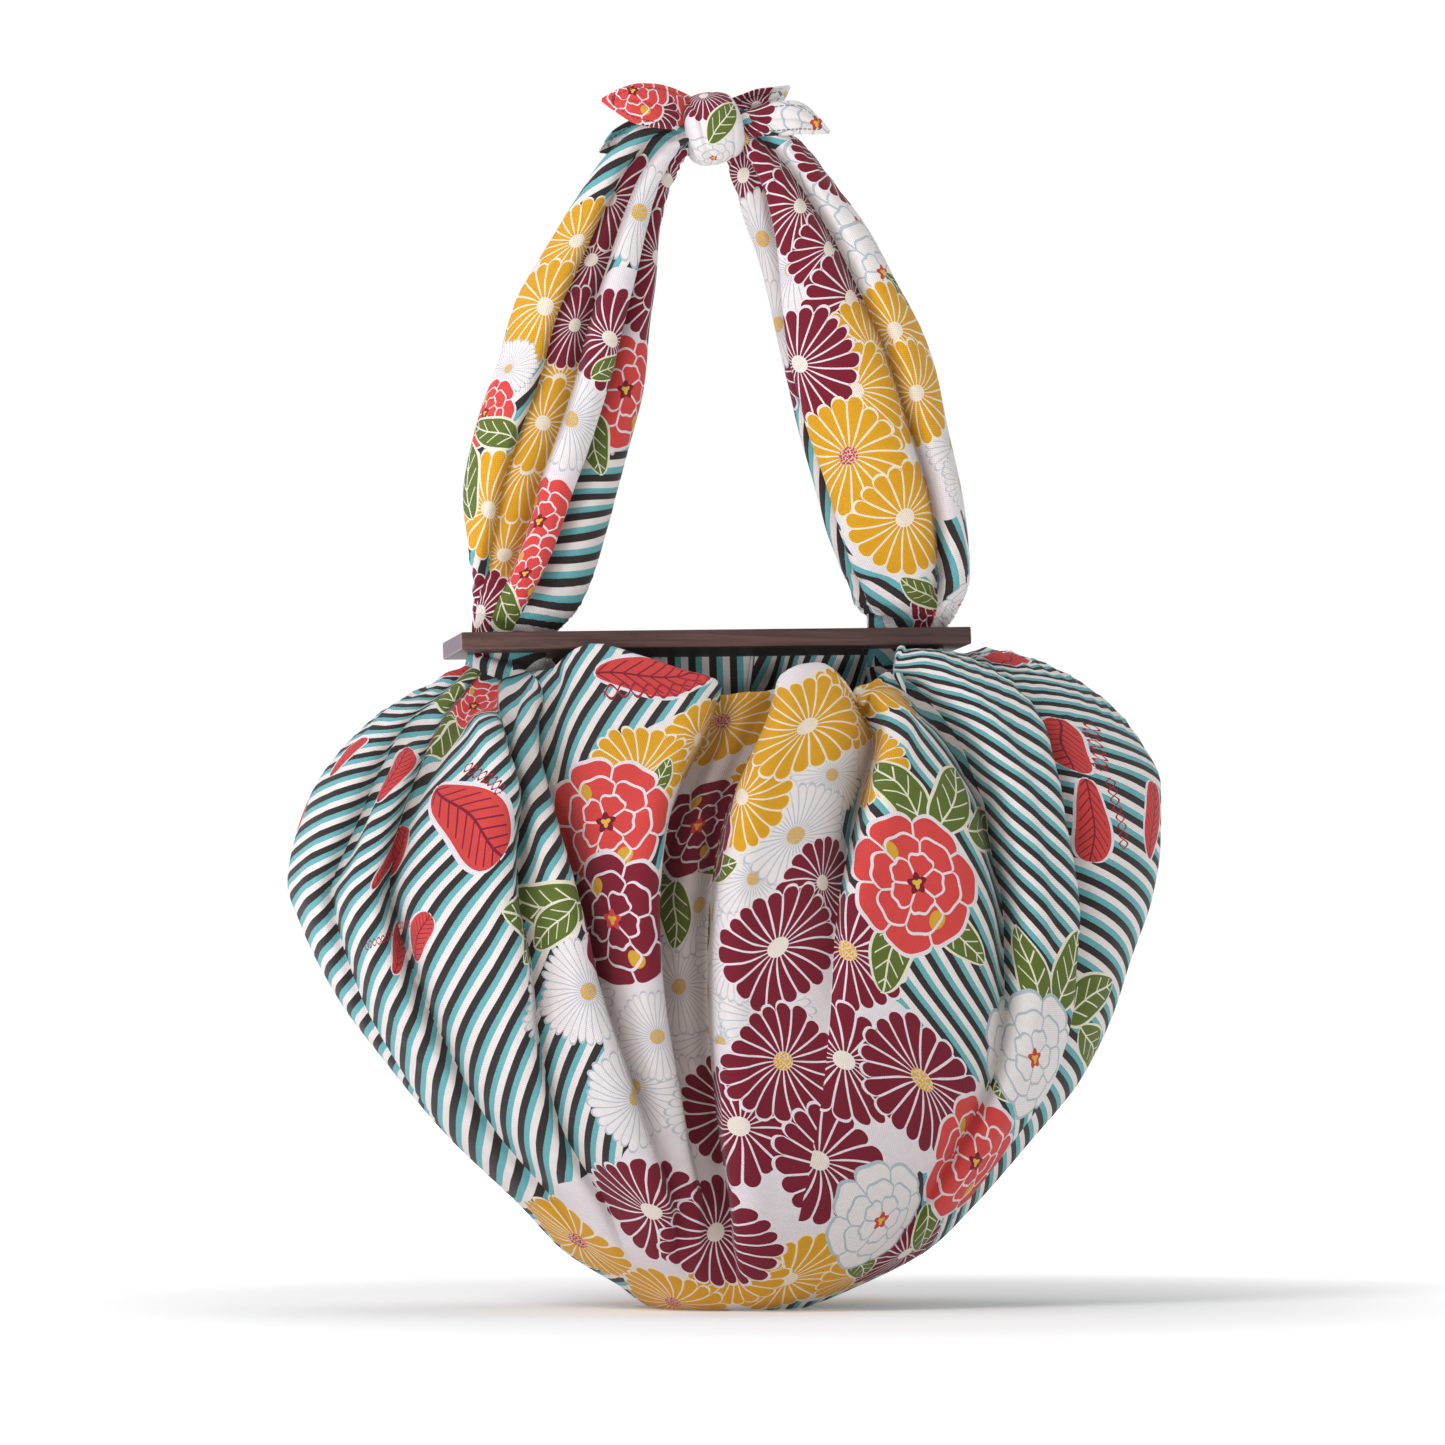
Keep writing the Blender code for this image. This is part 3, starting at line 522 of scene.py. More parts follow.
def turnedLip(edge):
    # The hem rolls over the rim and hangs a little way down inside, but not in the slots.
    s = clothBody
    ahead = np.roll(edge, -1, axis=0) - np.roll(edge, 1, axis=0)
    inward = unit(np.stack([-ahead[:, 1], ahead[:, 0], np.zeros(len(edge))], -1))
    free = ramp(*s["lipFree"], np.abs(edge[:, 1]))[:, None]
    rolled = []
    for i in range(1, s["lipRows"] + 1):
        share = i / s["lipRows"]
        bend = min(1.0, share / s["lipBend"]) * math.pi
        radius = s["lipRoll"] * (0.1 + 0.9 * free)
        drop = max(0.0, (share - s["lipBend"]) / (1 - s["lipBend"])) * (1.0 + (s["lipDepth"] - 1.0) * free)
        drift = 0.03 * drop * np.sin(np.arange(len(edge)) * 0.12)[:, None]
        shift = inward * (radius * (1 - math.cos(bend)) + 0.12 * drop + drift)
        rise = radius * math.sin(bend) - drop
        rolled.append(edge + shift + rise * np.array((0.0, 0.0, 1.0)))
    return np.array(rolled)


def bodyCharts(points, angle):
    # Where each point lies on the flat square. Every fold has its own chart from its middle line,
    # so the print is cut at a crease as it is where cloth is tucked out of sight.
    s = clothBody
    across = arcAlong(points, 1) * mm
    along = arcAlong(points, 0) * mm
    turn = np.radians(np.concatenate([angle, np.repeat(angle[-1:], s["lipRows"], axis=0)], axis=0))
    turn = np.concatenate([turn, turn[:, :1] + 2 * np.pi], axis=1)
    polar = along[..., None] * np.stack([np.cos(turn), np.sin(turn)], -1)
    charts = np.zeros((len(creases),) + polar.shape)
    for k, (cols, middle) in enumerate(foldSpans(len(creases), s["columnsInFold"])):
        ray = rayAt(creases[k][4])
        side = np.array((-ray[1], ray[0]))
        w = across[:, cols] - across[:, middle:middle + 1]
        chart = along[:, cols, None] * ray + w[..., None] * side
        share = ramp(*s["chartFrom"], along[:, middle:middle + 1])[..., None]
        charts[k][:, cols] = polar[:, cols] + share * (chart - polar[:, cols])
    return charts


# The two gathered ends of the cloth that rise through the slots to the knot.
strapColumns = ("x", "y", "z", "halfWidth", "halfDepth")
strapLeft = {
    "sections": (
        (-112, 0, 304, 17, 8), (-111.5, 0, 317, 21.5, 10), (-110.6, 0, 322, 18.8, 3.8),
        (-110.6, 0, 335, 18.9, 3.8), (-109.5, 0, 340, 20.5, 8), (-106.5, 0, 348, 24.5, 13),
        (-101.5, 0, 362, 30, 18), (-98.3, -1, 380, 34.5, 21.5), (-95.2, -1, 405, 38.5, 24),
        (-89.3, -1, 430, 39, 25), (-82, -1, 458, 38, 25), (-75.5, 0, 485, 36.5, 24),
        (-65.5, 0, 514, 31, 21), (-55.4, 0, 543, 24.5, 17.5), (-45, 0, 566, 20, 14.5),
        (-30, 0, 583, 16, 12), (-11, 0, 590, 9, 8),
    ),
    # crease: angles at four heights, depth, side that folds over, turn of the print after it
    "creases": (
        ("backRight", (60, 66, 62, 50), 6, 1, 20),
        ("backLeft", (130, 128, 132, 140), 6, -1, -30),
        ("yellowFold", (198, 228, 240, 236), 7, -1, 10),
        ("frontRidgeLeft", (236, 262, 272, 272), 8, 1, -15),
        ("frontRidgeRight", (272, 290, 302, 308), 9, -1, 108),
    ),
}
strapRight = {
    "sections": (
        (93, 0, 309, 17, 8), (92.5, 0, 322, 21.5, 10), (91.6, 0, 326.6, 18.8, 3.8),
        (91.6, 0, 339.3, 18.9, 3.8), (92.5, 0, 344, 22, 8), (93, 0, 351, 27, 14), (93, 0, 364, 32, 19),
        (90.5, -1, 382, 35, 22), (86, -1, 402, 37, 24), (80, -1, 425, 37.5, 25),
        (72, -1, 453, 38.5, 25), (65, 0, 478, 37.5, 24), (56, 0, 503, 34, 22), (46, 0, 528, 30, 19.5),
        (35, 0, 550, 25.5, 17), (23, 0, 570, 21, 14), (9, 0, 585, 15, 11), (-3, 0, 590.5, 9, 8),
    ),
    "creases": (
        ("backRight", (54, 60, 58, 48), 6, -1, 25),
        ("backLeft", (128, 126, 130, 136), 6, 1, -20),
        ("innerFace", (214, 200, 196, 236), 7, 1, 55),
        ("longFold", (306, 304, 298, 294), 10, 1, 30),
    ),
}
straps = {
    "rows": 150, "columns": 150, "bunching": 0.10,
    "creaseAt": (340, 400, 480, 570),  # mm, the heights of a crease's four angles
    "creaseRise": (336.0, 366.0),
    "fullDepth": 17.0,  # mm of half depth from which the creases are whole
    "room": 0.62,  # no crease goes further in than this share of the half depth
    "steepSide": 2.6,  # mm
    "gentleSide": 8.0,
    "overlap": 2.2,
    "slide": (4.4, 3.0),
    # mm deep, where the painted fold shade is darkest
    "shadeFrom": 11.0,
    "undulation": 0.54,
    "waves": ((1.0, 3, 1 / 23, 0.0), (0.7, 5, -1 / 15, 1.4), (0.5, 1, 1 / 9, 0.0)),  # climb in a mm
    "ripple": 0.5,  # mm, fine gathers just over the plate and under the knot
    "ripplePitch": 7.5,
    "rippleHeights": ((338, 344), (352, 385), (535, 565)),
    "chartStep": 0.7,  # m between the places of two folds on the cloth
}


def makeStrap(name, strap, motifs):
    s = straps
    marks = strap["creases"]
    count = len(marks)
    wide = s["columns"] // count
    at = np.linspace(0, len(strap["sections"]) - 1, s["rows"])
    size = sized(strapColumns, strap["sections"], at)
    lift, halfDepth = size["z"][:, None], size["halfDepth"][:, None]
    centre = np.stack([size[k] for k in "xyz"], -1)
    heading = np.gradient(centre, axis=0)
    heading[:, 1] = 0
    side = np.cross((0.0, 1.0, 0.0), unit(heading))
    angles = np.array([eased(s["creaseAt"], row[1], size["z"]) for row in marks]).T
    turn = np.radians(foldColumns(angles, wide, s["bunching"]))
    plain = centre[:, None] + (size["halfWidth"][:, None] * np.cos(turn))[..., None] * side[:, None]
    plain[..., 1] += halfDepth * np.sin(turn)
    out = -gridNormals(plain)
    middle = len(at) // 2
    if (out[middle] * (plain[middle] - centre[middle])).sum() < 0:
        out = -out
    gain = ramp(*s["creaseRise"], lift) * np.minimum(1, halfDepth / s["fullDepth"])
    deep = [row[2] * gain for row in marks]
    reaches = [s["overlap"] * gain] * count
    arc, fall, slide = creaseCloth(plain, wide, [row[3] for row in marks], deep, reaches, s)
    fall = np.minimum(fall, s["room"] * halfDepth)
    wave = undulation(s, turn, lift) * gain
    start, end, top = (ramp(*heights, lift) for heights in s["rippleHeights"])
    ripple = s["ripple"] * ((1 - end) * start + top) * np.sin(arc * 2 * np.pi / s["ripplePitch"] + lift / 14)
    points = closed(moved(plain, out, wave + ripple - fall, slide))
    across = arcAlong(points, 1) * mm
    along = arcAlong(centre, 0)[:, None] * mm
    charts = np.zeros((count,) + points.shape[:2] + (2,))
    for k, (cols, middle) in enumerate(foldSpans(count, wide)):
        w = across[:, cols] - across[:, middle:middle + 1]
        c, n = rayAt(marks[k][4])
        u = w * c + along * n + s["chartStep"] * k
        charts[k][:, cols] = np.stack([u, along * c - w * n], -1)
    fold = np.repeat(np.arange(count), wide)
    # Painted shade: how deep each point lies in a fold, to darken the print there.
    depth = closed(np.clip(fall / s["shadeFrom"], 0, 1))
    thing, places, corners = gridMesh(name, points, fold, charts, depth)
    printMotifs(thing, places, corners, motifs)
    weld(thing)
    return thing


# The knot: one turn of cloth wrapped tightly over the two straps, and its four free ends.
knot = {
    "centre": (-7.8, -1.4, 589.5),
    "half": (14.2, 18.0, 18.2),
    "tilt": -14.0,  # degrees, seen from the front
    "fullness": 0.82,  # 1 is an ellipsoid, and less has blunter ends
    "pleats": ((-0.46, 2.3, 0.09), (0.34, 1.2, 0.07)),  # place, depth mm, width
    "wander": (0.20, 0.05),  # how far a pleat strays from its place
    "fade": (0.6, 0.4),  # a pleat's depth, and how much it changes round the knot
    "swell": (0.5, 0.35),  # mm, of two soft waves
    "swellShare": 0.7,
    "chartStretch": 1.25,
    "columns": 96, "rows": 72,
}
knotMotifs = (
    ("patch", (-8, 584, 40)),
    ("whitePeony", (-8, 574, 15)),
    ("burgundyMum", (-11, 605, 18), (-22, 586, 14)),
    ("leaf", (-2, 592, 14.5, 62)),
)


def flatChart(u, v):
    return np.stack(np.broadcast_arrays(u, v), -1)[None]


def makeKnot():
    s = knot
    t = np.linspace(-1, 1, s["rows"])
    turn = np.linspace(0, 2 * np.pi, s["columns"], endpoint=False) + np.pi
    width = np.sin(np.arccos(np.clip(t, -1, 1))) ** s["fullness"]
    width[0] = width[-1] = 0.0
    width = width[:, None]
    along = np.sin(t * np.pi / 2)[:, None]
    groove = np.zeros((len(t), len(turn)))
    for place, depth, wide in s["pleats"]:
        line = place + s["wander"][0] * np.sin(turn + place * 5) + s["wander"][1] * np.sin(3 * turn)
        fade = s["fade"][0] + s["fade"][1] * np.cos(turn + place * 4 + 0.6)
        groove += depth * fade * np.exp(-np.abs((along - line) / wide) ** 1.6)
    swell = s["swell"][0] * np.sin(2 * turn + 3 * along) + s["swell"][1] * np.sin(5 * turn + 1.3)
    reach = 1 + (swell * s["swellShare"] - groove) * width / s["half"][2]
    x = np.repeat(along * s["half"][0], len(turn), axis=1)
    y = -s["half"][1] * width * np.cos(turn) * reach
    z = s["half"][2] * width * np.sin(turn) * reach
    c, n = rayAt(s["tilt"])
    points = closed(np.stack([x * c + z * n, y, z * c - x * n], -1) + np.array(s["centre"]))[::-1]
    v = np.linspace(0, 2 * np.pi, s["columns"] + 1) * s["half"][2] * mm
    charts = flatChart(along[::-1] * s["half"][0] * mm * s["chartStretch"], v[None])
    thing, places, corners = gridMesh("knot", points, np.zeros(s["columns"], int), charts)
    printMotifs(thing, places, corners, knotMotifs)
    weld(thing, outward=True)
    return thing


tipColumns = ("x", "y", "z", "halfWidth", "cup")
tips = (
    ("tipLeftFront", 1.0, (
        (-10, 4, 593, 6, 2), (-17, 0, 595, 8, 2.5), (-24, -6, 597, 9.4, 3.5),
        (-36, -12.5, 599, 10.8, 4.5), (-48, -14, 600, 9.8, 4), (-58, -12, 601, 5.8, 2.5),
        (-65.5, -9, 601.5, 0.7, 0.1),
    )),
    ("tipLeftBack", -1.0, (
        (-9, 5, 590, 4.5, 1.5), (-16, 8, 590, 5.8, 2), (-24, 11, 590, 7.2, 3),
        (-38, 18, 588, 8.8, 3.5), (-50, 20, 584, 7, 3), (-61, 18, 579, 0.7, 0.1),
    )),
    ("tipRightBack", -1.0, (
        (-2, 5, 597, 5, 2), (8, 8, 600, 7, 3), (18, 10, 603.5, 7.2, 3), (27.5, 9, 608, 4.9, 2),
        (34.5, 7, 613, 0.7, 0.1),
    )),
    ("tipRightFront", 1.0, (
        (-4, 4, 591, 5, 2), (5, -1, 591.5, 6, 2.5), (13, -8, 592.5, 7, 3.5), (22, -13, 594, 8.2, 4),
        (32, -15, 594.8, 8.4, 3.5), (43, -12, 591.5, 4.8, 2), (51, -9, 588.5, 0.7, 0.1),
    )),
)
tipShape = {
    "columns": 28, "rows": 44,
    "thickness": 1.0, "creaseDepth": 1.6,  # mm
    "creaseWidth": 0.16,  # of the half width
    "curl": 1.4,
    "chartStretch": 1.15,
    "hemTaper": 0.45,  # how far before the point the two stitch lines meet
}
tipMotifs = {
    "tipLeftFront": (("coralPeony", (-60, 603, 20)), ("burgundyMum", (-38, 595, 17)),
                     ("coralPeony", (-46, 606, 19))),
    "tipLeftBack": (),
    "tipRightBack": (("burgundyMum", (14, 602, 22)), ("whiteMum", (33, 607, 9))),
    "tipRightFront": (("whitePeony", (44, 592, 26)), ("burgundyMum", (8, 598, 20))),
}


def makeTip(name, facing, rows):
    s = tipShape
    at = np.linspace(0, len(rows) - 1, s["rows"])
    size = sized(tipColumns, rows, at)
    at, halfWidth = at[:, None], size["halfWidth"][:, None]
    centre = np.stack([size[k] for k in "xyz"], -1)
    heading = unit(np.gradient(centre, axis=0))
    side = unit(np.cross(heading, (0.0, 1.0, 0.0)))
    out = np.cross(side, heading)
    out = out * -np.sign(out[:, 1:2])
    share = np.linspace(-1, 1, s["columns"] + 1)
    fold = s["creaseDepth"] * np.exp(-np.abs((share - 0.12 * np.sin(at)) / s["creaseWidth"]) ** 1.5)
    fade = ramp(len(rows) - 1, len(rows) - 3.2, at)
    curl = s["curl"] * np.sin(at * 2.1 + 2.4 * share) * np.abs(share) ** 1.5 * fade
    bow = facing * (size["cup"][:, None] * (0.4 - share ** 2) - fold * fade) + curl
    points = centre[:, None] + share[None, :, None] * halfWidth[..., None] * side[:, None]
    points = points + bow[..., None] * out[:, None]
    charts = flatChart(share * halfWidth * mm * s["chartStretch"], arcAlong(centre, 0)[:, None] * mm)
    thing, places, corners = gridMesh(name, points, np.zeros(s["columns"], int), charts)
    outward = 1.0 if seenFrom(corners, "front")[1].mean() > 0.5 else -1.0
    printMotifs(thing, places, corners, tipMotifs[name], outward=outward)
    tail = arcAlong(centre[::-1], 0)[::-1][:, None]
    hem = np.minimum((1 - np.abs(share)) * halfWidth, s["hemTaper"] * tail)
    keepValues(thing, "hem", "FLOAT", "POINT", hem)
    addThickness(thing, s["thickness"], 0.0, 0)
    return thing


# Printed cotton: stripes woven under four layers of flowers, all from the cloth's own flat places.
cotton = {
    "stripeRepeat": 0.0108,  # m
    "stripeShares": (0.36, 0.66),
    "dark": "322A2A", "teal": "66ABB1", "white": "E4DDDA",
    "bareGround": "DFD8DB",  # between the flowers of a bunch
    "ragged": (900.0, 0.05),  # how fine and how strong the stripes' uneven edges are
    "weavePitch": 0.0013,
    "weaveTone": 0.16,
    "slub": (240.0, 0.16),
    "bump": (0.5, 0.00022),  # strength and m
    "roughness": 0.86,
    "sheen": 0.12,
    "foldShade": 0.75,  # painted shade: how far the cloth takes the shade colour below at the bottom of a fold
    "foldShadeColour": "A8988E",
    "stitch": "3A2A30", "stitchPitch": 0.0026, "stitchGap": 0.3, "stitchShare": 0.7,
    "stitchPlace": (2.6, 0.34),  # mm from the edge, and half its width
    "reverse": "E9E2DF",  # what the print fades to on the inner side
}
# The petal, the line round it, and the heart of each kind of motif.
motifColours = {
    "none": ("000000", "000000", "000000"),
    "yellowMum": ("D39A1A", "E6DCC8", "E4D8C4"),
    "yellowRedMum": ("D39A1A", "E6DCC8", "B03A38"),
    "whiteMum": ("E3DDDC", "B6BBC4", "D6A528"),
    "burgundyMum": ("74142A", "E2D9DE", "E6DCCB"),
    "burgundyGoldMum": ("74142A", "E2D9DE", "D6A528"),
    "coralPeony": ("CF4340", "E0D6DA", "74142A"),
    "burgundyPeony": ("7A162C", "E0D6DA", "CF4340"),
    "whitePeony": ("E3DEDC", "AEBAC1", "C0402F"),
    "leaf": ("5A6B28", "E0DCC6", "5A6B28"),
    "wing": ("C9413E", "DCD8DE", "7A1830"),
    "chain": ("9A2030", "9A2030", "9A2030"),
}
# In the motif's own radii.
motifShape = {
    "mumPetals": (20.0, 13.0),  # and how many more the white ones have
    "mumEnd": (0.2, 0.98),  # how round a petal's end is, and how far it reaches
    "mumUneven": 0.10,
    "mumLine": (0.0155, 0.005), # half the line between petals, and how much finer it is on white
    "mumHeart": 0.152,
    "speck": (26.0, 0.42, 0.55),
    "peonyRings": ((7, 0.0, 0.98, 0.16), (6, 0.35, 0.70, 0.15), (5, 0.1, 0.42, 0.13)),
    "peonyLine": (0.021, 0.017),
    "peonyWavy": (13.0, 0.014),
    "peonyHeart": (5.0, 0.13, 0.03),
    "peonyAnther": (3.0, 0.06, 0.02),
    "wedges": ((2.1, 0.56), (5.2, 0.60)),
    "wedgeSize": (0.022, 0.13),
    "leaf": (0.46, 0.66, -0.07, 2.3, 0.024),  # half width, roundness, taper, veins, half a vein
    "wing": (0.42, 0.42, 0.13, 4.6, 0.02),
    "chain": (13.0, 0.16, 0.035),
    "bend": 0.055,  # how far each flower is bent out of round
}


def linear(code):
    parts = [int(code[i:i + 2], 16) / 255 for i in (0, 2, 4)]
    return tuple(p / 12.92 if p <= 0.04045 else ((p + 0.055) / 1.055) ** 2.4 for p in parts) + (1.0,)


class Nodes:
    # Short names for the nodes that the materials use.
    def __init__(self, tree):
        self.tree = tree

    def add(self, kind, **settings):
        node = self.tree.nodes.new(kind)
        for name, value in settings.items():
            setattr(node, name, value)
        return node

    def put(self, socket, value):
        if isinstance(value, bpy.types.NodeSocket):
            self.tree.links.new(value, socket)
        else:
            socket.default_value = value

    def fill(self, node, values, output=0):
        for name, value in values.items():
            self.put(node.inputs[name], value)
        return node.outputs[output]

    def calc(self, operation, *values):
        return self.fill(self.add("ShaderNodeMath", operation=operation), dict(enumerate(values)))

    plus = partialmethod(calc, "ADD")
    minus = partialmethod(calc, "SUBTRACT")
    times = partialmethod(calc, "MULTIPLY")
    over = partialmethod(calc, "DIVIDE")
    power = partialmethod(calc, "POWER")
    fract = partialmethod(calc, "FRACT")
    size = partialmethod(calc, "ABSOLUTE")
    sine = partialmethod(calc, "SINE")
    most = partialmethod(calc, "MAXIMUM")
    least = partialmethod(calc, "MINIMUM")
    below = partialmethod(calc, "LESS_THAN")
    above = partialmethod(calc, "GREATER_THAN")

    def between(self, value, low, high):
        return self.times(self.above(value, low), self.below(value, high))

    def blend(self, share, first, second, way="MIX"):
        node = self.add("ShaderNodeMix", data_type="RGBA", blend_type=way)
        return self.fill(node, {0: share, 6: first, 7: second}, 2)

    def split(self, vector):
        node = self.add("ShaderNodeSeparateXYZ")
        self.put(node.inputs[0], vector)
        return node.outputs

    def given(self, name, output="Fac"):
        return self.add("ShaderNodeAttribute", attribute_name=name).outputs[output]

    def noise(self, place, **settings):
        return self.fill(self.add("ShaderNodeTexNoise"), {"Vector": place, **settings})

    def bump(self, height, strength, distance):
        node = self.add("ShaderNodeBump")
        return self.fill(node, {"Strength": strength, "Distance": distance, "Height": height})

    def steps(self, value, colours):
        # One colour for each whole number.
        node = self.add("ShaderNodeValToRGB")
        node.color_ramp.interpolation = "CONSTANT"
        stops = node.color_ramp.elements
        while len(stops) < len(colours):
            stops.new(0.5)
        for i, colour in enumerate(colours):
            stops[i].position = i / 16
            stops[i].color = linear(colour)
        return self.fill(node, {0: self.over(self.plus(value, 0.5), 16.0)})


def newMaterial(name):
    material = bpy.data.materials.new(name)
    material.use_nodes = True
    return material, Nodes(material.node_tree), material.node_tree.nodes["Principled BSDF"]


def petalCell(n, turn, count, phase=0.0):
    # The petal's number and the place across it, from -0.5 to 0.5.
    scaled = n.plus(n.times(turn, n.over(count, 2 * math.pi)), phase)
    number = n.calc("ROUND", scaled)
    return number, n.minus(scaled, number)


def toSide(n, across, r, count):  # the way to the petal's side, in radii
    return n.times(n.times(n.minus(0.5, n.size(across)), r), n.over(2 * math.pi, count))


def scallop(n, across, depth, radius):
    # The rounded outer end of a petal.
    wide = n.times(n.size(across), 2.0)
    bend = n.calc("SQRT", n.most(n.minus(1.0, n.power(wide, 2.4)), 0.0))
    return n.plus(radius - depth, n.times(bend, depth))


def chrysanthemum(n, r, turn, dense):
    s = motifShape
    count = n.plus(s["mumPetals"][0], n.times(dense, s["mumPetals"][1]))
    number, across = petalCell(n, turn, count)
    number = n.calc("FLOORED_MODULO", number, count)
    chance = n.fract(n.times(n.sine(n.times(number, 12.99)), 437.5))
    edge = n.minus(scallop(n, across, *s["mumEnd"]), n.times(chance, s["mumUneven"]))
    thin = n.least(n.times(r, 0.045), n.minus(s["mumLine"][0], n.times(dense, s["mumLine"][1])))
    line = n.most(n.below(toSide(n, across, r, count), thin), n.above(r, n.minus(edge, 0.012)))
    return line, n.below(r, n.plus(edge, 0.035)), n.below(r, s["mumHeart"])


def peony(n, r, turn):
    s = motifShape
    wavy = n.times(n.sine(n.times(turn, s["peonyWavy"][0])), s["peonyWavy"][1])
    cover = None
    for count, phase, radius, depth in s["peonyRings"]:
        across = petalCell(n, turn, count, phase)[1]
        edge = n.plus(scallop(n, across, depth, radius), wavy)
        inRing = n.below(r, edge)
        divide = n.times(n.below(toSide(n, across, r, count), s["peonyLine"][1]), inRing)
        if cover is None:
            cover = n.below(r, n.plus(edge, 0.04))
            line = n.most(n.above(r, n.minus(edge, 0.02)), divide)
        else:
            rimLine = n.below(n.size(n.minus(edge, r)), s["peonyLine"][0])
            line = n.most(n.times(line, n.minus(1.0, inRing)), n.most(rimLine, divide))
    wedge = 0.0
    for angle, reach in s["wedges"]:
        swing = n.over(n.minus(n.calc("COSINE", n.minus(turn, angle)), 1.0), -s["wedgeSize"][0])
        stretch = n.power(n.over(n.size(n.minus(r, reach)), s["wedgeSize"][1]), 2.0)
        wedge = n.most(n.below(n.plus(swing, stretch), 1.0), wedge)

    def star(points, radius, depth):
        return n.below(r, n.plus(radius, n.times(n.sine(n.times(turn, points)), depth)))

    return line, cover, star(*s["peonyHeart"]), wedge, star(*s["peonyAnther"])


def blade(n, x, y, width, fullness, slant, veins, veinHalf):
    # A leaf or a wing along x, with a midrib and side veins.
    high = n.size(y)
    full = n.most(n.minus(1.0, n.power(n.size(x), 2.0)), 0.0)
    reach = n.times(n.power(full, fullness), n.plus(width, n.times(x, slant)))
    lean = n.times(n.minus(x, n.times(high, 1.1)), veins)
    comb = n.size(n.minus(n.fract(lean), 0.5))
    vein = n.times(n.below(comb, veinHalf * veins), n.below(high, n.times(reach, 0.82)))
    cover = n.times(n.below(high, n.plus(n.times(reach, 1.05), 0.055)), n.below(n.size(x), 1.03))
    inside = n.below(high, reach)
    return n.times(n.most(n.below(high, veinHalf), vein), inside), inside, cover


def motifGroup():
    s = motifShape
    tree = bpy.data.node_groups.new("motif", "ShaderNodeTree")
    sockets = (("Ground", "INPUT", "Color"), ("Place", "INPUT", "Vector"), ("Colour", "OUTPUT", "Color"))
    for name, way, kind in sockets:
        tree.interface.new_socket(name, in_out=way, socket_type="NodeSocket" + kind)
    n = Nodes(tree)
    given = n.add("NodeGroupInput")
    x, y, kind = n.split(given.outputs["Place"])
    own = n.times(n.fract(kind), 60.0)
    bentX = n.sine(n.plus(n.times(y, 3.1), own))
    bentY = n.sine(n.plus(n.times(x, 3.4), n.times(own, 1.7)))
    x, y = n.plus(x, n.times(bentX, s["bend"])), n.plus(y, n.times(bentY, s["bend"]))
    r = n.calc("SQRT", n.plus(n.times(x, x), n.times(y, y)))
    turn = n.calc("ARCTAN2", y, x)
    petal, outline, heart = (n.steps(kind, [motifColours[k][i] for k in motifKinds]) for i in range(3))

    mumLine, mumCover, mumHeart = chrysanthemum(n, r, turn, n.between(kind, 2.5, 3.5))
    scale, gap, share = s["speck"]
    dots = n.add("ShaderNodeTexVoronoi", voronoi_dimensions="2D")
    speck = n.above(n.fill(dots, {"Vector": given.outputs["Place"], "Scale": scale}, "Distance"), gap)
    speckled = n.blend(n.times(speck, share), heart, outline)
    mum = n.blend(mumHeart, n.blend(mumLine, petal, outline), speckled)

    peonyLine, peonyCover, peonyHeart, wedge, anther = peony(n, r, turn)
    flower = n.blend(n.times(wedge, n.below(kind, 7.5)), petal, linear("D0A030"))
    flower = n.blend(peonyLine, flower, outline)
    flower = n.blend(peonyHeart, flower, heart)
    flower = n.blend(anther, flower, linear("E0B040"))

    leafLine, leafIn, leafCover = blade(n, x, y, *s["leaf"])
    leaf = n.blend(leafLine, n.blend(leafIn, outline, petal), outline)
    wingLine, wingIn, wingCover = blade(n, x, y, *s["wing"])
    wing = n.blend(wingLine, n.blend(wingIn, outline, petal), heart)

    pace, swing, half = s["chain"]
    wave = n.times(n.sine(n.times(x, pace)), swing)
    near = n.least(n.size(n.minus(y, wave)), n.size(n.plus(y, wave)))
    chainCover = n.times(n.below(near, half), n.below(n.size(x), 1.0))

    colour = mum
    cover = n.times(mumCover, n.between(kind, 0.5, 5.5))
    for low, high, paint, reach in ((5.5, 8.5, flower, peonyCover), (8.5, 9.5, leaf, leafCover),
                                    (9.5, 10.5, wing, wingCover), (10.5, 11.5, petal, chainCover)):
        chosen = n.between(kind, low, high)
        colour = n.blend(chosen, colour, paint)
        cover = n.most(cover, n.times(chosen, reach))
    final = n.blend(cover, given.outputs["Ground"], colour)
    n.put(n.add("NodeGroupOutput").inputs["Colour"], final)
    return tree


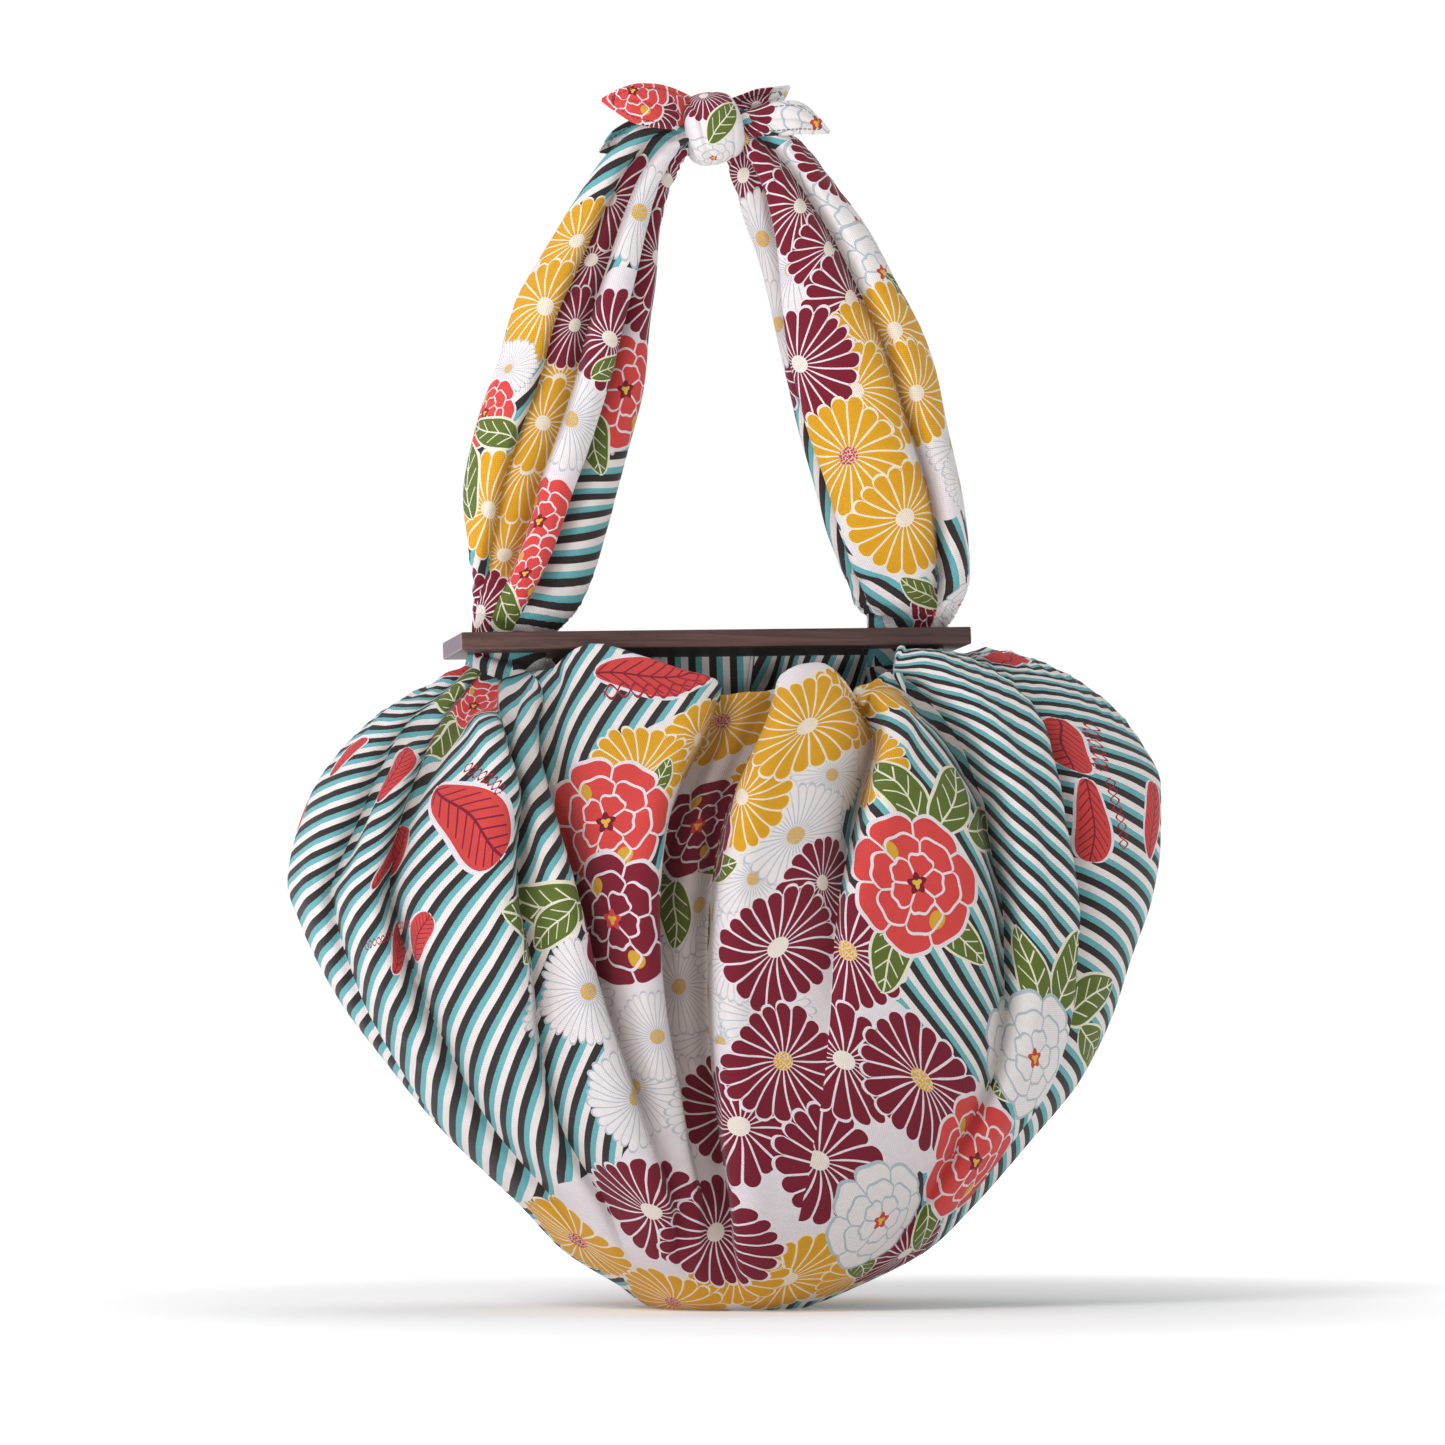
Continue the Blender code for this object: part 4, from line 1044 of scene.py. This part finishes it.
def makePrint(name, group, fadeToWhite):
    s = cotton
    material, n, shader = newMaterial(name)
    flat = n.add("ShaderNodeUVMap", uv_map="flat").outputs[0]
    u, v = n.split(flat)[:2]
    shake = n.times(n.minus(n.noise(flat, Scale=s["ragged"][0]), 0.5), s["ragged"][1])
    place = n.plus(n.fract(n.over(u, s["stripeRepeat"])), shake)
    ground = n.blend(n.below(place, s["stripeShares"][1]), linear(s["white"]), linear(s["teal"]))
    ground = n.blend(n.below(place, s["stripeShares"][0]), ground, linear(s["dark"]))
    colour = n.blend(n.above(n.given("plainGround"), 1.0), ground, linear(s["bareGround"]))
    for layer in reversed(motifLayers):
        motif = n.add("ShaderNodeGroup", node_tree=group)
        colour = n.fill(motif, {"Ground": colour, "Place": n.given(layer, "Vector")}, "Colour")
    stitch = n.below(n.size(n.minus(n.given("hem"), s["stitchPlace"][0])), s["stitchPlace"][1])
    stitch = n.times(stitch, n.above(n.fract(n.over(v, s["stitchPitch"])), s["stitchGap"]))
    colour = n.blend(n.times(stitch, s["stitchShare"]), colour, linear(s["stitch"]))
    warp, weft = (n.sine(n.times(way, 2 * math.pi / s["weavePitch"])) for way in (u, v))
    weave = n.times(warp, weft)
    slub = n.noise(flat, Scale=s["slub"][0], Detail=4.0)
    tone = n.plus(n.times(weave, s["weaveTone"]), n.times(n.minus(slub, 0.5), s["slub"][1]))
    # Painted shade: the print is multiplied towards a warm grey where the cloth lies deep in a fold.
    shaded = n.times(n.power(n.given("foldShadeDepth"), 1.2), s["foldShade"])
    colour = n.blend(shaded, colour, linear(s["foldShadeColour"]), "MULTIPLY")
    shade = n.add("ShaderNodeHueSaturation")
    colour = n.fill(shade, {"Value": n.plus(tone, 1.0), "Color": colour})
    bump = n.bump(n.plus(weave, n.times(slub, 1.2)), *s["bump"])
    n.fill(shader, {
        "Base Color": n.blend(fadeToWhite, colour, linear(s["reverse"])), "Normal": bump,
        "Roughness": n.plus(s["roughness"] - 0.04, n.times(slub, 0.08)),
        "Specular IOR Level": 0.25, "Sheen Weight": s["sheen"], "Sheen Roughness": 0.5})
    return material


walnut = {
    "dark": "2F1F1C", "middle": "50352F", "light": "735044",
    "stops": (0.38, 0.52, 0.68),
    "end": "A796A8",  # painted highlight: the cut ends are paled to a cool lilac grey where the light catches them
    "endGlareShare": 0.5,
    "endFacing": 0.7,  # how squarely a face looks along the plate to count as an end
    "roughness": 0.42,
    "grainTurn": 1.2,  # degrees off the plate's own length
    "grainScale": (6.0, 190.0, 190.0),
    "poreScale": (90.0, 1500.0, 1500.0),
    "pore": "1E1614",
    "poreFrom": 0.66,  # the higher, the fewer
    "bump": (0.25, 0.0002),
    "coat": 0.12,
}


def makeWalnut():
    s = walnut
    material, n, shader = newMaterial("plateWalnut")
    place = n.add("ShaderNodeTexCoord").outputs

    def scaled(scale, turn=0.0):
        node = n.add("ShaderNodeMapping")
        turned = (0.0, math.radians(turn), 0.0)
        return n.fill(node, {"Vector": place["Object"], "Rotation": turned, "Scale": scale})

    along = scaled(s["grainScale"], s["grainTurn"])
    grain = n.noise(along, Scale=1.6, Detail=7.0, Roughness=0.62, Distortion=0.6)
    broad = n.noise(along, Scale=0.35, Detail=2.0)
    tone = n.plus(n.times(grain, 0.62), n.times(broad, 0.38))
    shades = n.add("ShaderNodeValToRGB")
    stops = shades.color_ramp.elements
    stops.new(s["stops"][1])
    for stop, position, name in zip(stops, s["stops"], ("dark", "middle", "light")):
        stop.position, stop.color = position, linear(s[name])
    pore = n.above(n.noise(scaled(s["poreScale"]), Scale=1.0), s["poreFrom"])
    colour = n.blend(n.times(pore, 0.5), n.fill(shades, {0: tone}), linear(s["pore"]))
    # Painted highlight: faces that look along the plate are paled towards a cool lilac grey, as if a light
    # caught them.
    end = n.above(n.size(n.split(place["Normal"])[0]), s["endFacing"])
    n.fill(shader, {
        "Base Color": n.blend(n.times(end, s["endGlareShare"]), colour, linear(s["end"])),
        "Roughness": n.plus(s["roughness"], n.times(tone, 0.22)),
        "Normal": n.bump(n.minus(tone, n.times(pore, 0.4)), *s["bump"]),
        "Coat Weight": s["coat"], "Coat Roughness": 0.3})
    return material


studio = {
    "distance": 3.6,  # m from the bag to the lens
    "height": 0.17,
    "aimHeight": 0.2918,
    "aimAcross": -0.0025,
    "frameWidth": 0.7225,  # m of the bag's plane that the picture takes in
    "floor": "FFFFFF",
    "floorRadius": 6.0,
    "nearGlow": 0.12,
    "farGlow": 1.0,  # keeps the floor as pale far off as it is under the lights
    "glowFrom": (0.22, 0.8),  # m from the bag's middle
    "skyLight": 0.32,  # what the white room gives to the bag; the camera sees it white
    "lightAim": (0, 0, 0.3),
    "lights": (  # place, size in m, watts and colour
        ("keyLight", (-1.7, -1.3, 1.9), 0.9, 29, (1, 1, 1)),
        ("fillLight", (1.7, -1.9, 1.7), 2.0, 3, (1, 1, 1)),
        ("topLight", (0.1, 0.2, 2.5), 1.8, 14, (1, 1, 1)),
        ("endLight", (-2.4, -0.6, 0.5), 0.8, 13, (0.9, 0.84, 1.0)),
    ),
}


def pointAt(thing, place, aim):
    thing.location = place
    thing.rotation_mode = "QUATERNION"
    thing.rotation_quaternion = (aim - place).to_track_quat("-Z", "Y")


def makeCamera():
    s = studio
    c, n = math.cos(photoTurn), math.sin(photoTurn)
    aim = Vector((s["aimAcross"] * c, -s["aimAcross"] * n, s["aimHeight"]))
    place = Vector((aim.x - n * s["distance"], aim.y - c * s["distance"], s["height"]))
    data = bpy.data.cameras.new("camera")
    data.sensor_width = 36.0
    data.lens = data.sensor_width * s["distance"] / s["frameWidth"]
    camera = addObject("camera", data)
    pointAt(camera, place, aim)
    bpy.context.scene.camera = camera


def makeLights():
    for name, place, size, power, colour in studio["lights"]:
        data = bpy.data.lights.new(name, "AREA")
        data.shape = "DISK"
        data.size = size
        data.energy = power
        data.color = colour
        pointAt(addObject(name, data), Vector(place), Vector(studio["lightAim"]))


def makeFloor():
    s = studio
    mesh = bmesh.new()
    bmesh.ops.create_circle(mesh, cap_ends=True, segments=96, radius=s["floorRadius"])
    data = bpy.data.meshes.new("floor")
    mesh.to_mesh(data)
    mesh.free()
    material, n, shader = newMaterial("paleFloor")
    place = n.add("ShaderNodeTexCoord").outputs["Object"]
    away = n.fill(n.add("ShaderNodeVectorMath", operation="LENGTH"), {0: place}, "Value")
    glow = n.add("ShaderNodeMapRange", interpolation_type="SMOOTHSTEP")
    near, far = s["glowFrom"]
    glow = n.fill(glow, {"Value": away, "From Min": near, "From Max": far,
                         "To Min": s["nearGlow"], "To Max": s["farGlow"]})
    n.fill(shader, {"Base Color": linear(s["floor"]), "Roughness": 0.9, "Specular IOR Level": 0.1,
                    "Emission Color": (1.0, 1.0, 1.0, 1.0), "Emission Strength": glow})
    data.materials.append(material)
    addObject("floor", data)


def makeRoom():
    world = bpy.data.worlds.new("softWorld")
    world.use_nodes = True
    n = Nodes(world.node_tree)
    seen = n.add("ShaderNodeLightPath").outputs["Is Camera Ray"]
    light = studio["skyLight"]
    sky = world.node_tree.nodes["Background"]
    n.fill(sky, {"Color": (1.0, 1.0, 1.0, 1.0), "Strength": n.plus(light, n.times(seen, 1.0 - light))})
    bpy.context.scene.world = world
    bpy.context.scene.view_settings.view_transform = "Standard"


makeCamera()
makeFloor()
makeRoom()
makeLights()
print("camera, floor and lights made")
group = motifGroup()
printed = makePrint("clothPrint", group, 0.0)
reverse = makePrint("clothReverse", group, 0.45)
bodyPiece = makeBody()
bodyPiece.data.materials.append(printed)
bodyPiece.data.materials.append(reverse)
addThickness(bodyPiece, clothBody["thickness"], -1.0, 1)
print("body made")
leftPiece = makeStrap("strapLeft", strapLeft, leftMotifs)
rightPiece = makeStrap("strapRight", strapRight, rightMotifs)
print("straps made")
knotPiece = makeKnot()
others = [leftPiece, rightPiece, knotPiece] + [makeTip(*row) for row in tips]
for piece in others:
    piece.data.materials.append(printed)
print("knot and free ends made")
for piece in [bodyPiece] + others:
    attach(piece, "root")
    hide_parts("cloth")
for slot in bpy.data.objects["plate"].material_slots:
    slot.material = makeWalnut()
print("cloth declared and plate finished")
